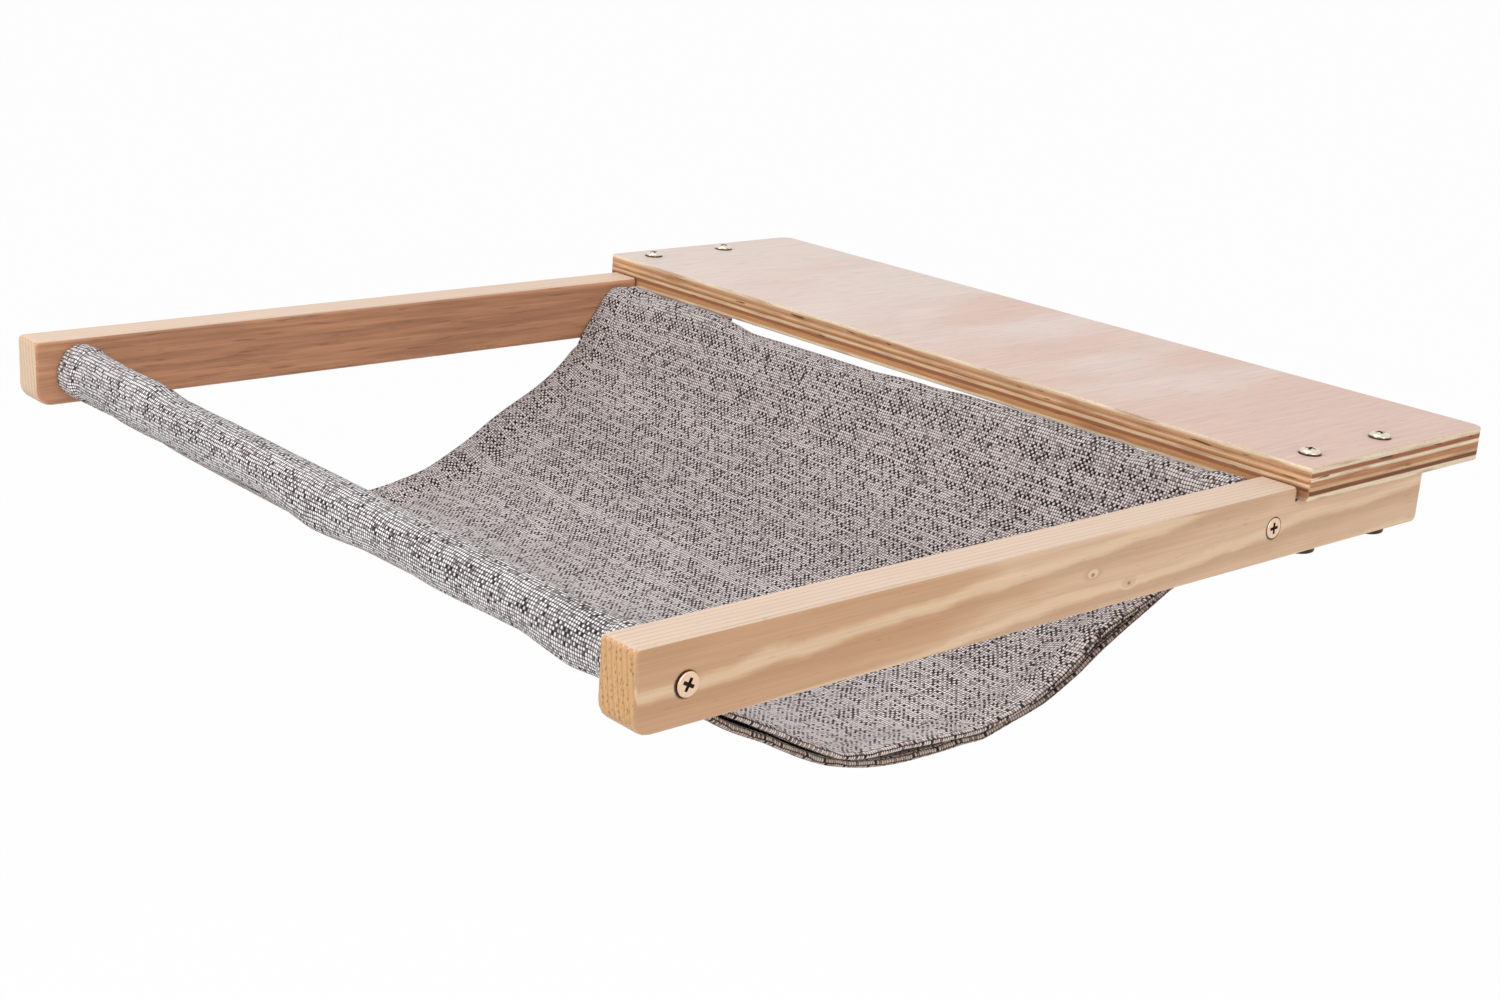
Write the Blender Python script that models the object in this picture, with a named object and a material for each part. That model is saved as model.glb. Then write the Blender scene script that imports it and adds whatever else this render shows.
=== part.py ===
"""Wall-mounted cat hammock: two pine side rails, a plywood shelf, and a two-layer cloth sling on two rods.

Metres, +Z up. X runs along the shelf, the front is towards -Y and the wall towards +Y. The origin is
the centre of the shelf's rear edge, which faces the wall.
"""

import math

import bmesh
import bpy
from mathutils import Matrix, Vector

# Fits shared by all the pieces
SEAT_GAP = 0.0003
HOLE_CLEARANCE = 0.0003
CUT_OVERRUN = 0.006
MERGE_DISTANCE = 0.000002

# Plywood shelf
SHELF_LENGTH = 0.600
SHELF_DEPTH = 0.170
SHELF_THICKNESS = 0.019
SHELF_FRONT_CORNER = 0.0025
SHELF_REAR_CORNER = 0.008
SHELF_EDGE_ROUND = 0.0009
SHELF_SIDE_OVERHANG = 0.0065
SHELF_REAR_OVERHANG = 0.0485

# Side rails
RAIL_LENGTH = 0.565
RAIL_HEIGHT = 0.039
RAIL_THICKNESS = 0.024
RAIL_EDGE_ROUND = 0.0020
RAIL_FRONT_LOWER_CORNER = 0.0100
RAIL_FRONT_UPPER_CORNER = 0.0030
RAIL_REAR_LOWER_CORNER = 0.004
NOTCH_DEPTH = 0.0075
NOTCH_CLEARANCE = 0.0016

# Rods between the rails, set back from the rails' front ends and out from the shelf's front edge
ROD_DIAMETER = 0.022
ROD_HEIGHT = 0.019
FRONT_ROD_SETBACK = 0.0275
REAR_ROD_SETBACK = 0.0175
ROD_END_CHAMFER = 0.001

# Screws through the rails into the rod ends
SCREW_DIAMETER = 0.006
SCREW_LENGTH = 0.060
SCREW_POINT = 0.007
SCREW_HEAD_DIAMETER = 0.0115
SCREW_HEAD_RIM = 0.0008
FRONT_SCREW_STAND = 0.0012
REAR_SCREW_STAND = 0.0002

# Bolts through the shelf and the rails, set in from the shelf's front edge and the rails' rear ends
BOLT_DIAMETER = 0.006
BOLT_ENGAGEMENT = 0.0066
BOLT_POINT = 0.001
BOLT_HEAD_DIAMETER = 0.0118
BOLT_HEAD_HEIGHT = 0.0030
BOLT_HEAD_RIM = 0.0007
FRONT_BOLT_SETBACK = 0.024
REAR_BOLT_SETBACK = 0.0315

# Cross recesses in the heads
RECESS_SPAN = 0.0062
RECESS_SLOT = 0.0016
RECESS_DEPTH = 0.0022

# Flanged barrel nuts under the rails
NUT_FLANGE_DIAMETER = 0.0195
NUT_FLANGE_THICKNESS = 0.0040
NUT_FLANGE_RIM = 0.0022
NUT_BARREL_DIAMETER = 0.009
NUT_BARREL_LENGTH = 0.016
NUT_WEB = 0.0015
NUT_SOCKET_WIDTH = 0.005
NUT_SOCKET_DEPTH = 0.002

# Cloth sleeves round the rods
CLOTH_THICKNESS = 0.0014
SLEEVE_END_GAP = 0.0008
SLEEVE_SLACK = 0.0015
SLEEVE_BULGE = 0.0028

# Sling between the sleeves, slacker on its left side
SLING_LEFT_SAG = 0.095
SLING_RIGHT_SAG = 0.090
SLING_MIDDLE_SAG = 0.004
SLING_EDGE_INSET = 0.002
SLING_EDGE_DRAW = 0.012
SLING_FOLD_DEPTH = 0.003
LAYER_GAP = 0.0005
HEM_WIDTH = 0.016
HEM_OPENING = 0.0022

# How far the lowest place lies behind the sling's middle on each side, as a share of its run
SLING_LEFT_SKEW_SHARE = -0.22
SLING_RIGHT_SKEW_SHARE = 0.04

# The side edges' folds: place along the sling's run, and depth as a share of the fold depth
LEFT_FOLD_SHARES = ((0.12, -0.6), (0.47, 1), (0.75, -0.8))
RIGHT_FOLD_SHARES = ((0.15, 0.8), (0.57, 1), (0.78, -1))
FOLD_WIDTH_SHARE = 0.11

# Where the sleeves stand off their rods, as shares of their length from the left
FRONT_SLEEVE_LOWER_SHARES = (0.12, 0.50, 0.89)
FRONT_SLEEVE_UPPER_SHARES = (0.12,)
REAR_SLEEVE_LOWER_SHARES = (0.30,)
REAR_SLEEVE_UPPER_SHARES = (0.07, 0.55, 0.74, 0.96)
BULGE_WIDTH_SHARE = 0.10

# Directions round a sleeve, measured from the sling's side round over the top
LOWER_BULGE_ANGLE = math.radians(-125)
UPPER_BULGE_ANGLE = math.radians(90)
BULGE_HALF_ANGLE = math.radians(70)

# Facets
ROUND_SEGMENTS = 20
HEAD_STEPS = 4
CORNER_STEPS = 5
SLEEVE_AROUND = 20
SLEEVE_ALONG = 22
SLING_ALONG = 30
SLING_ACROSS = 12
SEAM_ROUNDS = 8
EDGE_STEPS = 2
SMOOTH_ANGLE = math.radians(32)
EVEN_ROUND = 0.5

# Places worked out from the sizes above
RAIL_OUTER_X = SHELF_LENGTH / 2 - SHELF_SIDE_OVERHANG
RAIL_INNER_X = RAIL_OUTER_X - RAIL_THICKNESS
RAIL_MIDDLE_X = RAIL_OUTER_X - RAIL_THICKNESS / 2
RAIL_REAR_Y = -SHELF_REAR_OVERHANG
RAIL_FRONT_Y = RAIL_REAR_Y - RAIL_LENGTH
SHELF_TOP_Z = SHELF_THICKNESS / 2
SHELF_UNDER_Z = -SHELF_THICKNESS / 2
NOTCH_FLOOR_Z = SHELF_UNDER_Z - SEAT_GAP
RAIL_TOP_Z = NOTCH_FLOOR_Z + NOTCH_DEPTH
RAIL_UNDER_Z = RAIL_TOP_Z - RAIL_HEIGHT
ROD_RADIUS = ROD_DIAMETER / 2
ROD_Z = RAIL_UNDER_Z + ROD_HEIGHT
FRONT_ROD_Y = RAIL_FRONT_Y + FRONT_ROD_SETBACK
REAR_ROD_Y = -SHELF_DEPTH - REAR_ROD_SETBACK
ROD_HALF_LENGTH = RAIL_INNER_X - SEAT_GAP
FRONT_BOLT_Y = -SHELF_DEPTH + FRONT_BOLT_SETBACK
REAR_BOLT_Y = RAIL_REAR_Y - REAR_BOLT_SETBACK
BOLT_SEAT_Z = SHELF_TOP_Z + SEAT_GAP
NUT_SEAT_Z = RAIL_UNDER_Z - SEAT_GAP
BOLT_LENGTH = BOLT_SEAT_Z - NUT_SEAT_Z - NUT_BARREL_LENGTH + BOLT_ENGAGEMENT
SLEEVE_HALF_LENGTH = RAIL_INNER_X - SLEEVE_END_GAP
SLEEVE_RADIUS = ROD_RADIUS + SEAT_GAP + CLOTH_THICKNESS

SIDES = (("left", -1), ("right", 1))

# Base colour, roughness and metallic value of each piece
FINISHES = {
    "left_side_rail": ((0.42, 0.24, 0.13), 0.55, 0.0),
    "right_side_rail": ((0.66, 0.45, 0.27), 0.55, 0.0),
    "shelf_board": ((0.66, 0.46, 0.36), 0.5, 0.0),
    "front_rod": ((0.68, 0.50, 0.33), 0.6, 0.0),
    "rear_rod": ((0.68, 0.50, 0.33), 0.6, 0.0),
    "rod_screw": ((0.78, 0.58, 0.44), 0.3, 1.0),
    "shelf_bolt": ((0.74, 0.71, 0.60), 0.25, 1.0),
    "shelf_nut": ((0.06, 0.05, 0.04), 0.4, 1.0),
    "front_sleeve": ((0.36, 0.35, 0.36), 0.95, 0.0),
    "rear_sleeve": ((0.33, 0.32, 0.33), 0.95, 0.0),
    "sling_upper_layer": ((0.26, 0.24, 0.24), 0.95, 0.0),
    "sling_lower_layer": ((0.20, 0.17, 0.15), 0.95, 0.0),
}


def clear_scene():
    """Removes every object that the scene starts with."""
    for obj in list(bpy.data.objects):
        bpy.data.objects.remove(obj, do_unlink=True)


def add_object(name, bm):
    """Puts a closed bmesh into the scene as a named object with its faces pointing out."""
    bmesh.ops.recalc_face_normals(bm, faces=bm.faces)
    return add_surface(name, bm)


def add_surface(name, bm):
    """Puts a bmesh into the scene as a named object, its faces as they were drawn."""
    mesh = bpy.data.meshes.new(name)
    bm.to_mesh(mesh)
    bm.free()
    return add_mesh(name, mesh)


def add_mesh(name, mesh):
    """Puts a mesh into the scene under a name; copies of a piece share their mesh."""
    obj = bpy.data.objects.new(name, mesh)
    bpy.context.scene.collection.objects.link(obj)
    return obj


def finish(obj):
    """Gives a piece its material, and shades its round faces smooth up to the hard edges."""
    colour, roughness, metallic = FINISHES[obj.name]
    material = bpy.data.materials.new(obj.name)
    material.use_nodes = True
    shader = material.node_tree.nodes["Principled BSDF"]
    shader.inputs["Base Color"].default_value = (*colour, 1)
    shader.inputs["Roughness"].default_value = roughness
    shader.inputs["Metallic"].default_value = metallic
    obj.data.materials.clear()
    obj.data.materials.append(material)
    obj.data.shade_smooth()
    obj.data.set_sharp_from_angle(angle=SMOOTH_ANGLE)
    return obj


def bake_modifiers(obj):
    """Replaces an object's mesh by what its modifiers make of it."""
    bpy.context.view_layer.update()
    shown = obj.evaluated_get(bpy.context.evaluated_depsgraph_get())
    mesh = bpy.data.meshes.new_from_object(shown)
    obj.modifiers.clear()
    obj.data = mesh
    return obj


def carve(obj, cutters):
    """Takes the cutters' shapes out of an object and deletes the cutters."""
    for cutter in cutters:
        modifier = obj.modifiers.new(cutter.name, "BOOLEAN")
        modifier.operation = "DIFFERENCE"
        modifier.solver = "EXACT"
        modifier.object = cutter
    bake_modifiers(obj)
    for cutter in cutters:
        bpy.data.objects.remove(cutter, do_unlink=True)
    return obj


def rounded_outline(corners):
    """Points round an outline, each corner (a, b, radius) rounded by an arc."""
    points = []
    count = len(corners)
    for index, (a, b, radius) in enumerate(corners):
        corner = Vector((a, b))
        if not radius:
            points.append(corner)
            continue
        before = (Vector(corners[index - 1][:2]) - corner).normalized()
        after = (Vector(corners[(index + 1) % count][:2]) - corner).normalized()
        half = before.angle(after) / 2
        centre = corner + (before + after).normalized() * radius / math.sin(half)
        start = corner + before * radius / math.tan(half) - centre
        turn = start.angle_signed(corner + after * radius / math.tan(half) - centre)
        for step in range(CORNER_STEPS + 1):
            arm = start.copy()
            arm.rotate(Matrix.Rotation(-turn * step / CORNER_STEPS, 2))
            points.append(centre + arm)
    return points


def slab(name, points, to_space, thickness, edge_round):
    """A plate: the outline laid out by to_space, extruded by the thickness vector, its rims rounded."""
    bm = bmesh.new()
    face = bm.faces.new([bm.verts.new(to_space(point)) for point in points])
    bmesh.ops.recalc_face_normals(bm, faces=[face])
    pushed = bmesh.ops.extrude_face_region(bm, geom=[face], use_keep_orig=True)
    moved = [item for item in pushed["geom"] if isinstance(item, bmesh.types.BMVert)]
    bmesh.ops.translate(bm, vec=thickness, verts=moved)
    ends = [end for end in bm.faces if len(end.verts) == len(points)]
    rims = {edge for end in ends for edge in end.edges}
    bmesh.ops.bevel(
        bm,
        geom=list(rims),
        offset=edge_round,
        segments=EDGE_STEPS,
        profile=EVEN_ROUND,
        affect="EDGES",
    )
    return add_object(name, bm)


def block(name, low, high):
    """A plain box between two corners."""
    bm = bmesh.new()
    bmesh.ops.create_cube(bm, size=1)
    size = Vector(high) - Vector(low)
    bmesh.ops.scale(bm, vec=size, verts=bm.verts)
    bmesh.ops.translate(bm, vec=Vector(low) + size / 2, verts=bm.verts)
    return add_object(name, bm)


def turned(name, profile, segments=ROUND_SEGMENTS):
    """A solid turned about Z from a profile of (radius, height) that starts and ends on the axis."""
    bm = bmesh.new()
    verts = [bm.verts.new((radius, 0, height)) for radius, height in profile]
    edges = [bm.edges.new(pair) for pair in zip(verts, verts[1:])]
    bmesh.ops.spin(
        bm,
        geom=verts + edges,
        cent=(0, 0, 0),
        axis=(0, 0, 1),
        angle=math.tau,
        steps=segments,
        use_merge=True,
        use_normal_flip=False,
    )
    bmesh.ops.remove_doubles(bm, verts=bm.verts, dist=MERGE_DISTANCE)
    return add_object(name, bm)


def drum(name, radius, low, high, segments=ROUND_SEGMENTS):
    """A plain cylinder about Z between two heights."""
    return turned(name, [(0, high), (radius, high), (radius, low), (0, low)], segments=segments)


def cross_recess(name, head_top):
    """The tapered cross that is taken out of a screw's or a bolt's head."""
    half, slot = RECESS_SPAN / 2, RECESS_SLOT / 2
    arm = [(half, -slot), (half, slot), (slot, slot)]
    bm = bmesh.new()
    top, foot = [], []
    for quarter in range(4):
        turn = Matrix.Rotation(math.pi / 2 * quarter, 3, "Z")
        for x, y in arm:
            top.append(bm.verts.new(turn @ Vector((x, y, head_top + CUT_OVERRUN))))
            foot.append(bm.verts.new(turn @ Vector((min(x, half / 2), y, head_top - RECESS_DEPTH))))
    bm.faces.new(top)
    bm.faces.new(foot)
    for index in range(len(top)):
        bm.faces.new((top[index - 1], top[index], foot[index], foot[index - 1]))
    return add_object(name, bm)


def place(obj, location, turn=None):
    """Moves an object to its place and turns it there."""
    obj.location = location
    if turn:
        obj.rotation_euler = turn
    return obj


def screw_profile(grow, above):
    """Half section of a flat-head screw, head up, grown on all sides and carried up past the head."""
    head = SCREW_HEAD_DIAMETER / 2
    shank = SCREW_DIAMETER / 2
    slant = grow * (math.sqrt(2) - 1)
    cone = SCREW_HEAD_RIM + head - shank
    return [
        (0, above),
        (head + grow, above),
        (head + grow, -SCREW_HEAD_RIM - slant),
        (shank + grow, -cone - slant),
        (shank + grow, SCREW_POINT - SCREW_LENGTH - grow),
        (0, -SCREW_LENGTH - grow),
    ]


def screw_seat(side, rod_y, stand):
    """Where a rod screw's head lies, and its turn: the shank runs in towards the middle."""
    return (side * (RAIL_OUTER_X + stand), rod_y, ROD_Z), (0, side * math.pi / 2, 0)


def screw_space(side, rod_y, stand):
    """The countersunk hole for a rod screw, through the rail and into the rod."""
    hole = turned("screw_space", screw_profile(HOLE_CLEARANCE, CUT_OVERRUN))
    return place(hole, *screw_seat(side, rod_y, stand))


def rod_screw():
    """A flat-head screw, its head's face at z = 0 and its point below."""
    screw = turned("rod_screw", screw_profile(0, 0))
    return finish(carve(screw, [cross_recess("recess", 0)]))


def dome(radius, low, high):
    """Points of a flattened dome's section from its top down to its rim."""
    points = []
    for step in range(HEAD_STEPS + 1):
        angle = math.pi / 2 * (1 - step / HEAD_STEPS)
        points.append((radius * math.cos(angle), low + (high - low) * math.sin(angle)))
    return points


def shelf_bolt():
    """A domed bolt, its head standing on z = 0 and its shank below."""
    shank = BOLT_DIAMETER / 2
    profile = dome(BOLT_HEAD_DIAMETER / 2, BOLT_HEAD_RIM, BOLT_HEAD_HEIGHT)
    profile[0] = (0, BOLT_HEAD_HEIGHT)
    profile += [
        (BOLT_HEAD_DIAMETER / 2, 0),
        (shank, 0),
        (shank, BOLT_POINT - BOLT_LENGTH),
        (shank - BOLT_POINT, -BOLT_LENGTH),
        (0, -BOLT_LENGTH),
    ]
    bolt = turned("shelf_bolt", profile)
    return finish(carve(bolt, [cross_recess("recess", BOLT_HEAD_HEIGHT)]))


def shelf_nut():
    """A barrel nut: its flange hangs below z = 0 and its threaded barrel stands above."""
    flange = NUT_FLANGE_DIAMETER / 2
    barrel = NUT_BARREL_DIAMETER / 2
    bore = BOLT_DIAMETER / 2 + HOLE_CLEARANCE
    profile = [(0, -NUT_FLANGE_THICKNESS)]
    for radius, height in dome(flange, NUT_FLANGE_RIM, NUT_FLANGE_THICKNESS)[1:]:
        profile.append((radius, -height))
    profile += [
        (flange, 0),
        (barrel, 0),
        (barrel, NUT_BARREL_LENGTH),
        (bore, NUT_BARREL_LENGTH),
        (bore, NUT_WEB),
        (0, NUT_WEB),
    ]
    nut = turned("shelf_nut", profile)
    socket_radius = NUT_SOCKET_WIDTH / math.sqrt(3)
    floor = NUT_SOCKET_DEPTH - NUT_FLANGE_THICKNESS
    socket = drum("socket", socket_radius, -NUT_FLANGE_THICKNESS - CUT_OVERRUN, floor, segments=6)
    return finish(carve(nut, [socket]))


def bolt_space(side, bolt_y):
    """The hole for a bolt, through the shelf and the rail."""
    radius = BOLT_DIAMETER / 2 + HOLE_CLEARANCE
    hole = drum("bolt_space", radius, RAIL_UNDER_Z - CUT_OVERRUN, SHELF_TOP_Z + CUT_OVERRUN)
    return place(hole, (side * RAIL_MIDDLE_X, bolt_y, 0))


def barrel_space(side, bolt_y):
    """The wider hole for a nut's barrel, up from the rail's underside."""
    radius = NUT_BARREL_DIAMETER / 2 + HOLE_CLEARANCE
    top = RAIL_UNDER_Z + NUT_BARREL_LENGTH + HOLE_CLEARANCE
    hole = drum("barrel_space", radius, RAIL_UNDER_Z - CUT_OVERRUN, top)
    return place(hole, (side * RAIL_MIDDLE_X, bolt_y, 0))


def side_rail(name, side):
    """A rail with a rounded front end, a notch for the shelf, and its screw and bolt holes."""
    corners = [
        (RAIL_FRONT_Y, RAIL_UNDER_Z, RAIL_FRONT_LOWER_CORNER),
        (RAIL_REAR_Y, RAIL_UNDER_Z, RAIL_REAR_LOWER_CORNER),
        (RAIL_REAR_Y, RAIL_TOP_Z, 0),
        (RAIL_FRONT_Y, RAIL_TOP_Z, RAIL_FRONT_UPPER_CORNER),
    ]
    rail = slab(
        name,
        rounded_outline(corners),
        lambda point: (side * RAIL_INNER_X, point.x, point.y),
        Vector((side * RAIL_THICKNESS, 0, 0)),
        RAIL_EDGE_ROUND,
    )
    notch = block(
        "notch",
        (-SHELF_LENGTH, -SHELF_DEPTH - NOTCH_CLEARANCE, NOTCH_FLOOR_Z),
        (SHELF_LENGTH, CUT_OVERRUN, RAIL_TOP_Z + CUT_OVERRUN),
    )
    cutters = [notch]
    cutters.append(screw_space(side, FRONT_ROD_Y, FRONT_SCREW_STAND))
    cutters.append(screw_space(side, REAR_ROD_Y, REAR_SCREW_STAND))
    for bolt_y in (FRONT_BOLT_Y, REAR_BOLT_Y):
        cutters.append(bolt_space(side, bolt_y))
        cutters.append(barrel_space(side, bolt_y))
    return finish(carve(rail, cutters))


def shelf_board():
    """The plywood shelf, its rear corners well rounded, with four bolt holes."""
    half = SHELF_LENGTH / 2
    corners = [
        (-half, -SHELF_DEPTH, SHELF_FRONT_CORNER),
        (half, -SHELF_DEPTH, SHELF_FRONT_CORNER),
        (half, 0, SHELF_REAR_CORNER),
        (-half, 0, SHELF_REAR_CORNER),
    ]
    board = slab(
        "shelf_board",
        rounded_outline(corners),
        lambda point: (point.x, point.y, SHELF_UNDER_Z),
        Vector((0, 0, SHELF_THICKNESS)),
        SHELF_EDGE_ROUND,
    )
    cutters = [bolt_space(side, bolt_y) for _, side in SIDES for bolt_y in (FRONT_BOLT_Y, REAR_BOLT_Y)]
    return finish(carve(board, cutters))


def rod(name, rod_y, stand):
    """A round rod between the rails with a pilot hole for the screw at each end."""
    end = ROD_HALF_LENGTH
    inner = end - ROD_END_CHAMFER
    rim = ROD_RADIUS - ROD_END_CHAMFER
    profile = [(0, end), (rim, end), (ROD_RADIUS, inner), (ROD_RADIUS, -inner), (rim, -end), (0, -end)]
    bar = turned(name, profile)
    place(bar, (0, rod_y, ROD_Z), (0, math.pi / 2, 0))
    return finish(carve(bar, [screw_space(side, rod_y, stand) for _, side in SIDES]))


def lobe(offset, half_width):
    """1 at offset 0, falling smoothly to 0 at the half width."""
    if abs(offset) >= half_width:
        return 0
    return math.cos(math.pi / 2 * offset / half_width) ** 2


def bulge(share, place_shares):
    """How far loose cloth stands off at a share of a sleeve's length."""
    return SLEEVE_BULGE * max(lobe(share - place, BULGE_WIDTH_SHARE) for place in place_shares)


def facing(angle, middle):
    """How strongly a bulge about a middle direction shows in another direction."""
    return lobe(math.remainder(angle - middle, math.tau), BULGE_HALF_ANGLE)


def sleeve(name, rod_y, inward, lower_shares, upper_shares):
    """A cloth tube round a rod, tight on the sling's side and loose in places above and below.

    The sling's side is towards +Y where inward is 1 and towards -Y where it is -1.
    """
    bm = bmesh.new()
    rings = []
    for step in range(SLEEVE_ALONG + 1):
        share = step / SLEEVE_ALONG
        x = SLEEVE_HALF_LENGTH * (2 * share - 1)
        lower = SLEEVE_SLACK + bulge(share, lower_shares)
        upper = bulge(share, upper_shares)
        ring = []
        for index in range(SLEEVE_AROUND):
            angle = math.tau * index / SLEEVE_AROUND
            radius = SLEEVE_RADIUS
            radius += lower * facing(angle, LOWER_BULGE_ANGLE)
            radius += upper * facing(angle, UPPER_BULGE_ANGLE)
            y = rod_y + inward * radius * math.cos(angle)
            ring.append(bm.verts.new((x, y, ROD_Z + radius * math.sin(angle))))
        rings.append(ring)
    for ring, following in zip(rings, rings[1:]):
        for index in range(SLEEVE_AROUND):
            face = (ring[index - 1], ring[index], following[index], following[index - 1])
            bm.faces.new(face[::inward])
    tube = add_surface(name, bm)
    add_wall(tube, -1)
    return finish(tube)


def add_wall(obj, side):
    """Gives a surface the cloth's thickness, outwards for 1 and inwards for -1."""
    wall = obj.modifiers.new("wall", "SOLIDIFY")
    wall.thickness = CLOTH_THICKNESS
    wall.offset = side
    wall.use_even_offset = True
    wall.use_rim = True
    bake_modifiers(obj)


def hang_share(along, skew_share):
    """Share of the sling's depth at a share of its run, 0 at both sleeves."""
    skewed = along - skew_share * along * (1 - along)
    return 4 * skewed * (1 - skewed)


def sling_ends(sag, skew_share):
    """Where a strip of the sling leaves the sleeves, square to their faces, and its depth below there."""
    reach = SLEEVE_RADIUS + SEAT_GAP
    front_angle = rear_angle = math.pi / 4
    for _ in range(SEAM_ROUNDS):
        front_y = FRONT_ROD_Y + reach * math.cos(front_angle)
        front_z = ROD_Z - reach * math.sin(front_angle)
        rear_y = REAR_ROD_Y - reach * math.cos(rear_angle)
        rear_z = ROD_Z - reach * math.sin(rear_angle)
        depth = (front_z + rear_z) / 2 - (ROD_Z - sag)
        span = rear_y - front_y
        tilt = (rear_z - front_z) / span
        front_angle = math.atan(4 * (1 - skew_share) * depth / span - tilt)
        rear_angle = math.atan(4 * (1 + skew_share) * depth / span + tilt)
    return (front_y, front_z), (rear_y, rear_z), depth


def sling_strip(across):
    """Points from front to rear midway between the layers; across runs from -1 left to 1 right."""
    right_share = (1 + across) / 2
    sag = SLING_LEFT_SAG + (SLING_RIGHT_SAG - SLING_LEFT_SAG) * right_share
    skew_share = SLING_LEFT_SKEW_SHARE + (SLING_RIGHT_SKEW_SHARE - SLING_LEFT_SKEW_SHARE) * right_share
    fold_shares = RIGHT_FOLD_SHARES if across > 0 else LEFT_FOLD_SHARES
    front, rear, depth = sling_ends(sag + SLING_MIDDLE_SAG * (1 - across**2), skew_share)
    points = []
    for step in range(SLING_ALONG + 1):
        along = step / SLING_ALONG
        hang = hang_share(along, skew_share)
        fold = sum(height * lobe(along - place, FOLD_WIDTH_SHARE) for place, height in fold_shares)
        half_width = SLEEVE_HALF_LENGTH - SLING_EDGE_INSET - SLING_EDGE_DRAW * hang
        y = front[0] + (rear[0] - front[0]) * along
        z = front[1] + (rear[1] - front[1]) * along
        z -= depth * hang + SLING_FOLD_DEPTH * fold * across**2
        points.append(Vector((across * half_width, y, z)))
    return points


def sling_layer(name, side):
    """One layer of the sling: side 1 is the upper one and -1 the lower one, which gapes at its hems."""
    bm = bmesh.new()
    strips = []
    for index in range(SLING_ACROSS + 1):
        across = 2 * index / SLING_ACROSS - 1
        strips.append([bm.verts.new(point) for point in sling_strip(across)])
    for strip, following in zip(strips, strips[1:]):
        for step in range(SLING_ALONG):
            bm.faces.new((strip[step], following[step], following[step + 1], strip[step + 1]))
    bm.normal_update()
    normals = [[vert.normal.copy() for vert in strip] for strip in strips]
    edge_xs = [abs(vert.co.x) for vert in strips[0]]
    for strip, strip_normals in zip(strips, normals):
        for step, (vert, normal) in enumerate(zip(strip, strip_normals)):
            opening = 0
            if side < 0:
                hang = hang_share(step / SLING_ALONG, 0)
                opening = HEM_OPENING * math.sqrt(hang) * lobe(edge_xs[step] - abs(vert.co.x), HEM_WIDTH)
            vert.co += normal * side * (LAYER_GAP / 2 + opening)
    layer = add_surface(name, bm)
    add_wall(layer, side)
    return finish(layer)


def build():
    clear_scene()
    for label, side in SIDES:
        side_rail(f"{label}_side_rail", side)
    shelf_board()
    rod("front_rod", FRONT_ROD_Y, FRONT_SCREW_STAND)
    rod("rear_rod", REAR_ROD_Y, REAR_SCREW_STAND)

    screw = rod_screw()
    bolt = shelf_bolt()
    nut = shelf_nut()
    for label, side in SIDES:
        for end, rod_y, stand in (
            ("front", FRONT_ROD_Y, FRONT_SCREW_STAND),
            ("rear", REAR_ROD_Y, REAR_SCREW_STAND),
        ):
            place(add_mesh(f"rod_screw_{end}_{label}", screw.data), *screw_seat(side, rod_y, stand))
        for end, bolt_y in (("front", FRONT_BOLT_Y), ("rear", REAR_BOLT_Y)):
            x = side * RAIL_MIDDLE_X
            place(add_mesh(f"shelf_bolt_{end}_{label}", bolt.data), (x, bolt_y, BOLT_SEAT_Z))
            place(add_mesh(f"shelf_nut_{end}_{label}", nut.data), (x, bolt_y, NUT_SEAT_Z))
    for pattern in (screw, bolt, nut):
        bpy.data.objects.remove(pattern, do_unlink=True)

    sleeve("front_sleeve", FRONT_ROD_Y, 1, FRONT_SLEEVE_LOWER_SHARES, FRONT_SLEEVE_UPPER_SHARES)
    sleeve("rear_sleeve", REAR_ROD_Y, -1, REAR_SLEEVE_LOWER_SHARES, REAR_SLEEVE_UPPER_SHARES)
    sling_layer("sling_upper_layer", 1)
    sling_layer("sling_lower_layer", -1)


if __name__ == "__main__":
    build()
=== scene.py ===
"""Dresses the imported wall-mounted cat hammock: its timber, its metal, its sewn sling and a plain studio.

Metres, +Z up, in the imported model's frame: X runs along the shelf, the front is towards -Y.
The file is laid out as a Blender add-on and is run as a script.
"""

import math

import bmesh
import bpy
import numpy as np
from bpy.props import FloatProperty, FloatVectorProperty, IntProperty, PointerProperty
from mathutils import Matrix, Vector, noise


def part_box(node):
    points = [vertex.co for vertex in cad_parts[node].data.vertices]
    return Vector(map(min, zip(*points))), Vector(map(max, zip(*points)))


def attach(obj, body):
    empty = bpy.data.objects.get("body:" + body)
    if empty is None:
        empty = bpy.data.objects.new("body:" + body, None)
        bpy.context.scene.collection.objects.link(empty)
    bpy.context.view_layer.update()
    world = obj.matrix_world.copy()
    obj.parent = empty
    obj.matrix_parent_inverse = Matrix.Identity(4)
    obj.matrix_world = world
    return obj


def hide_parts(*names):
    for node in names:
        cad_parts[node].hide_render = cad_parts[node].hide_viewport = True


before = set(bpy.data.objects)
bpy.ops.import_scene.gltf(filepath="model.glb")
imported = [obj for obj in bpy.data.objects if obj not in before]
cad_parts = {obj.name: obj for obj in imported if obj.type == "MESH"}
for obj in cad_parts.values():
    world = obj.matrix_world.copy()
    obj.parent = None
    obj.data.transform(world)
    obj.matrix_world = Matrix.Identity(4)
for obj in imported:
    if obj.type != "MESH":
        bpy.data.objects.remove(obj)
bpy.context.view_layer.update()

bl_info = {
    "name": "Wall-mounted cat hammock",
    "version": (1, 0, 0),
    "blender": (4, 5, 0),
    "location": "3D View > Sidebar > Hammock",
    "description": "Finishes a packed cat hammock and sews its sling",
    "category": "Object",
}

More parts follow.
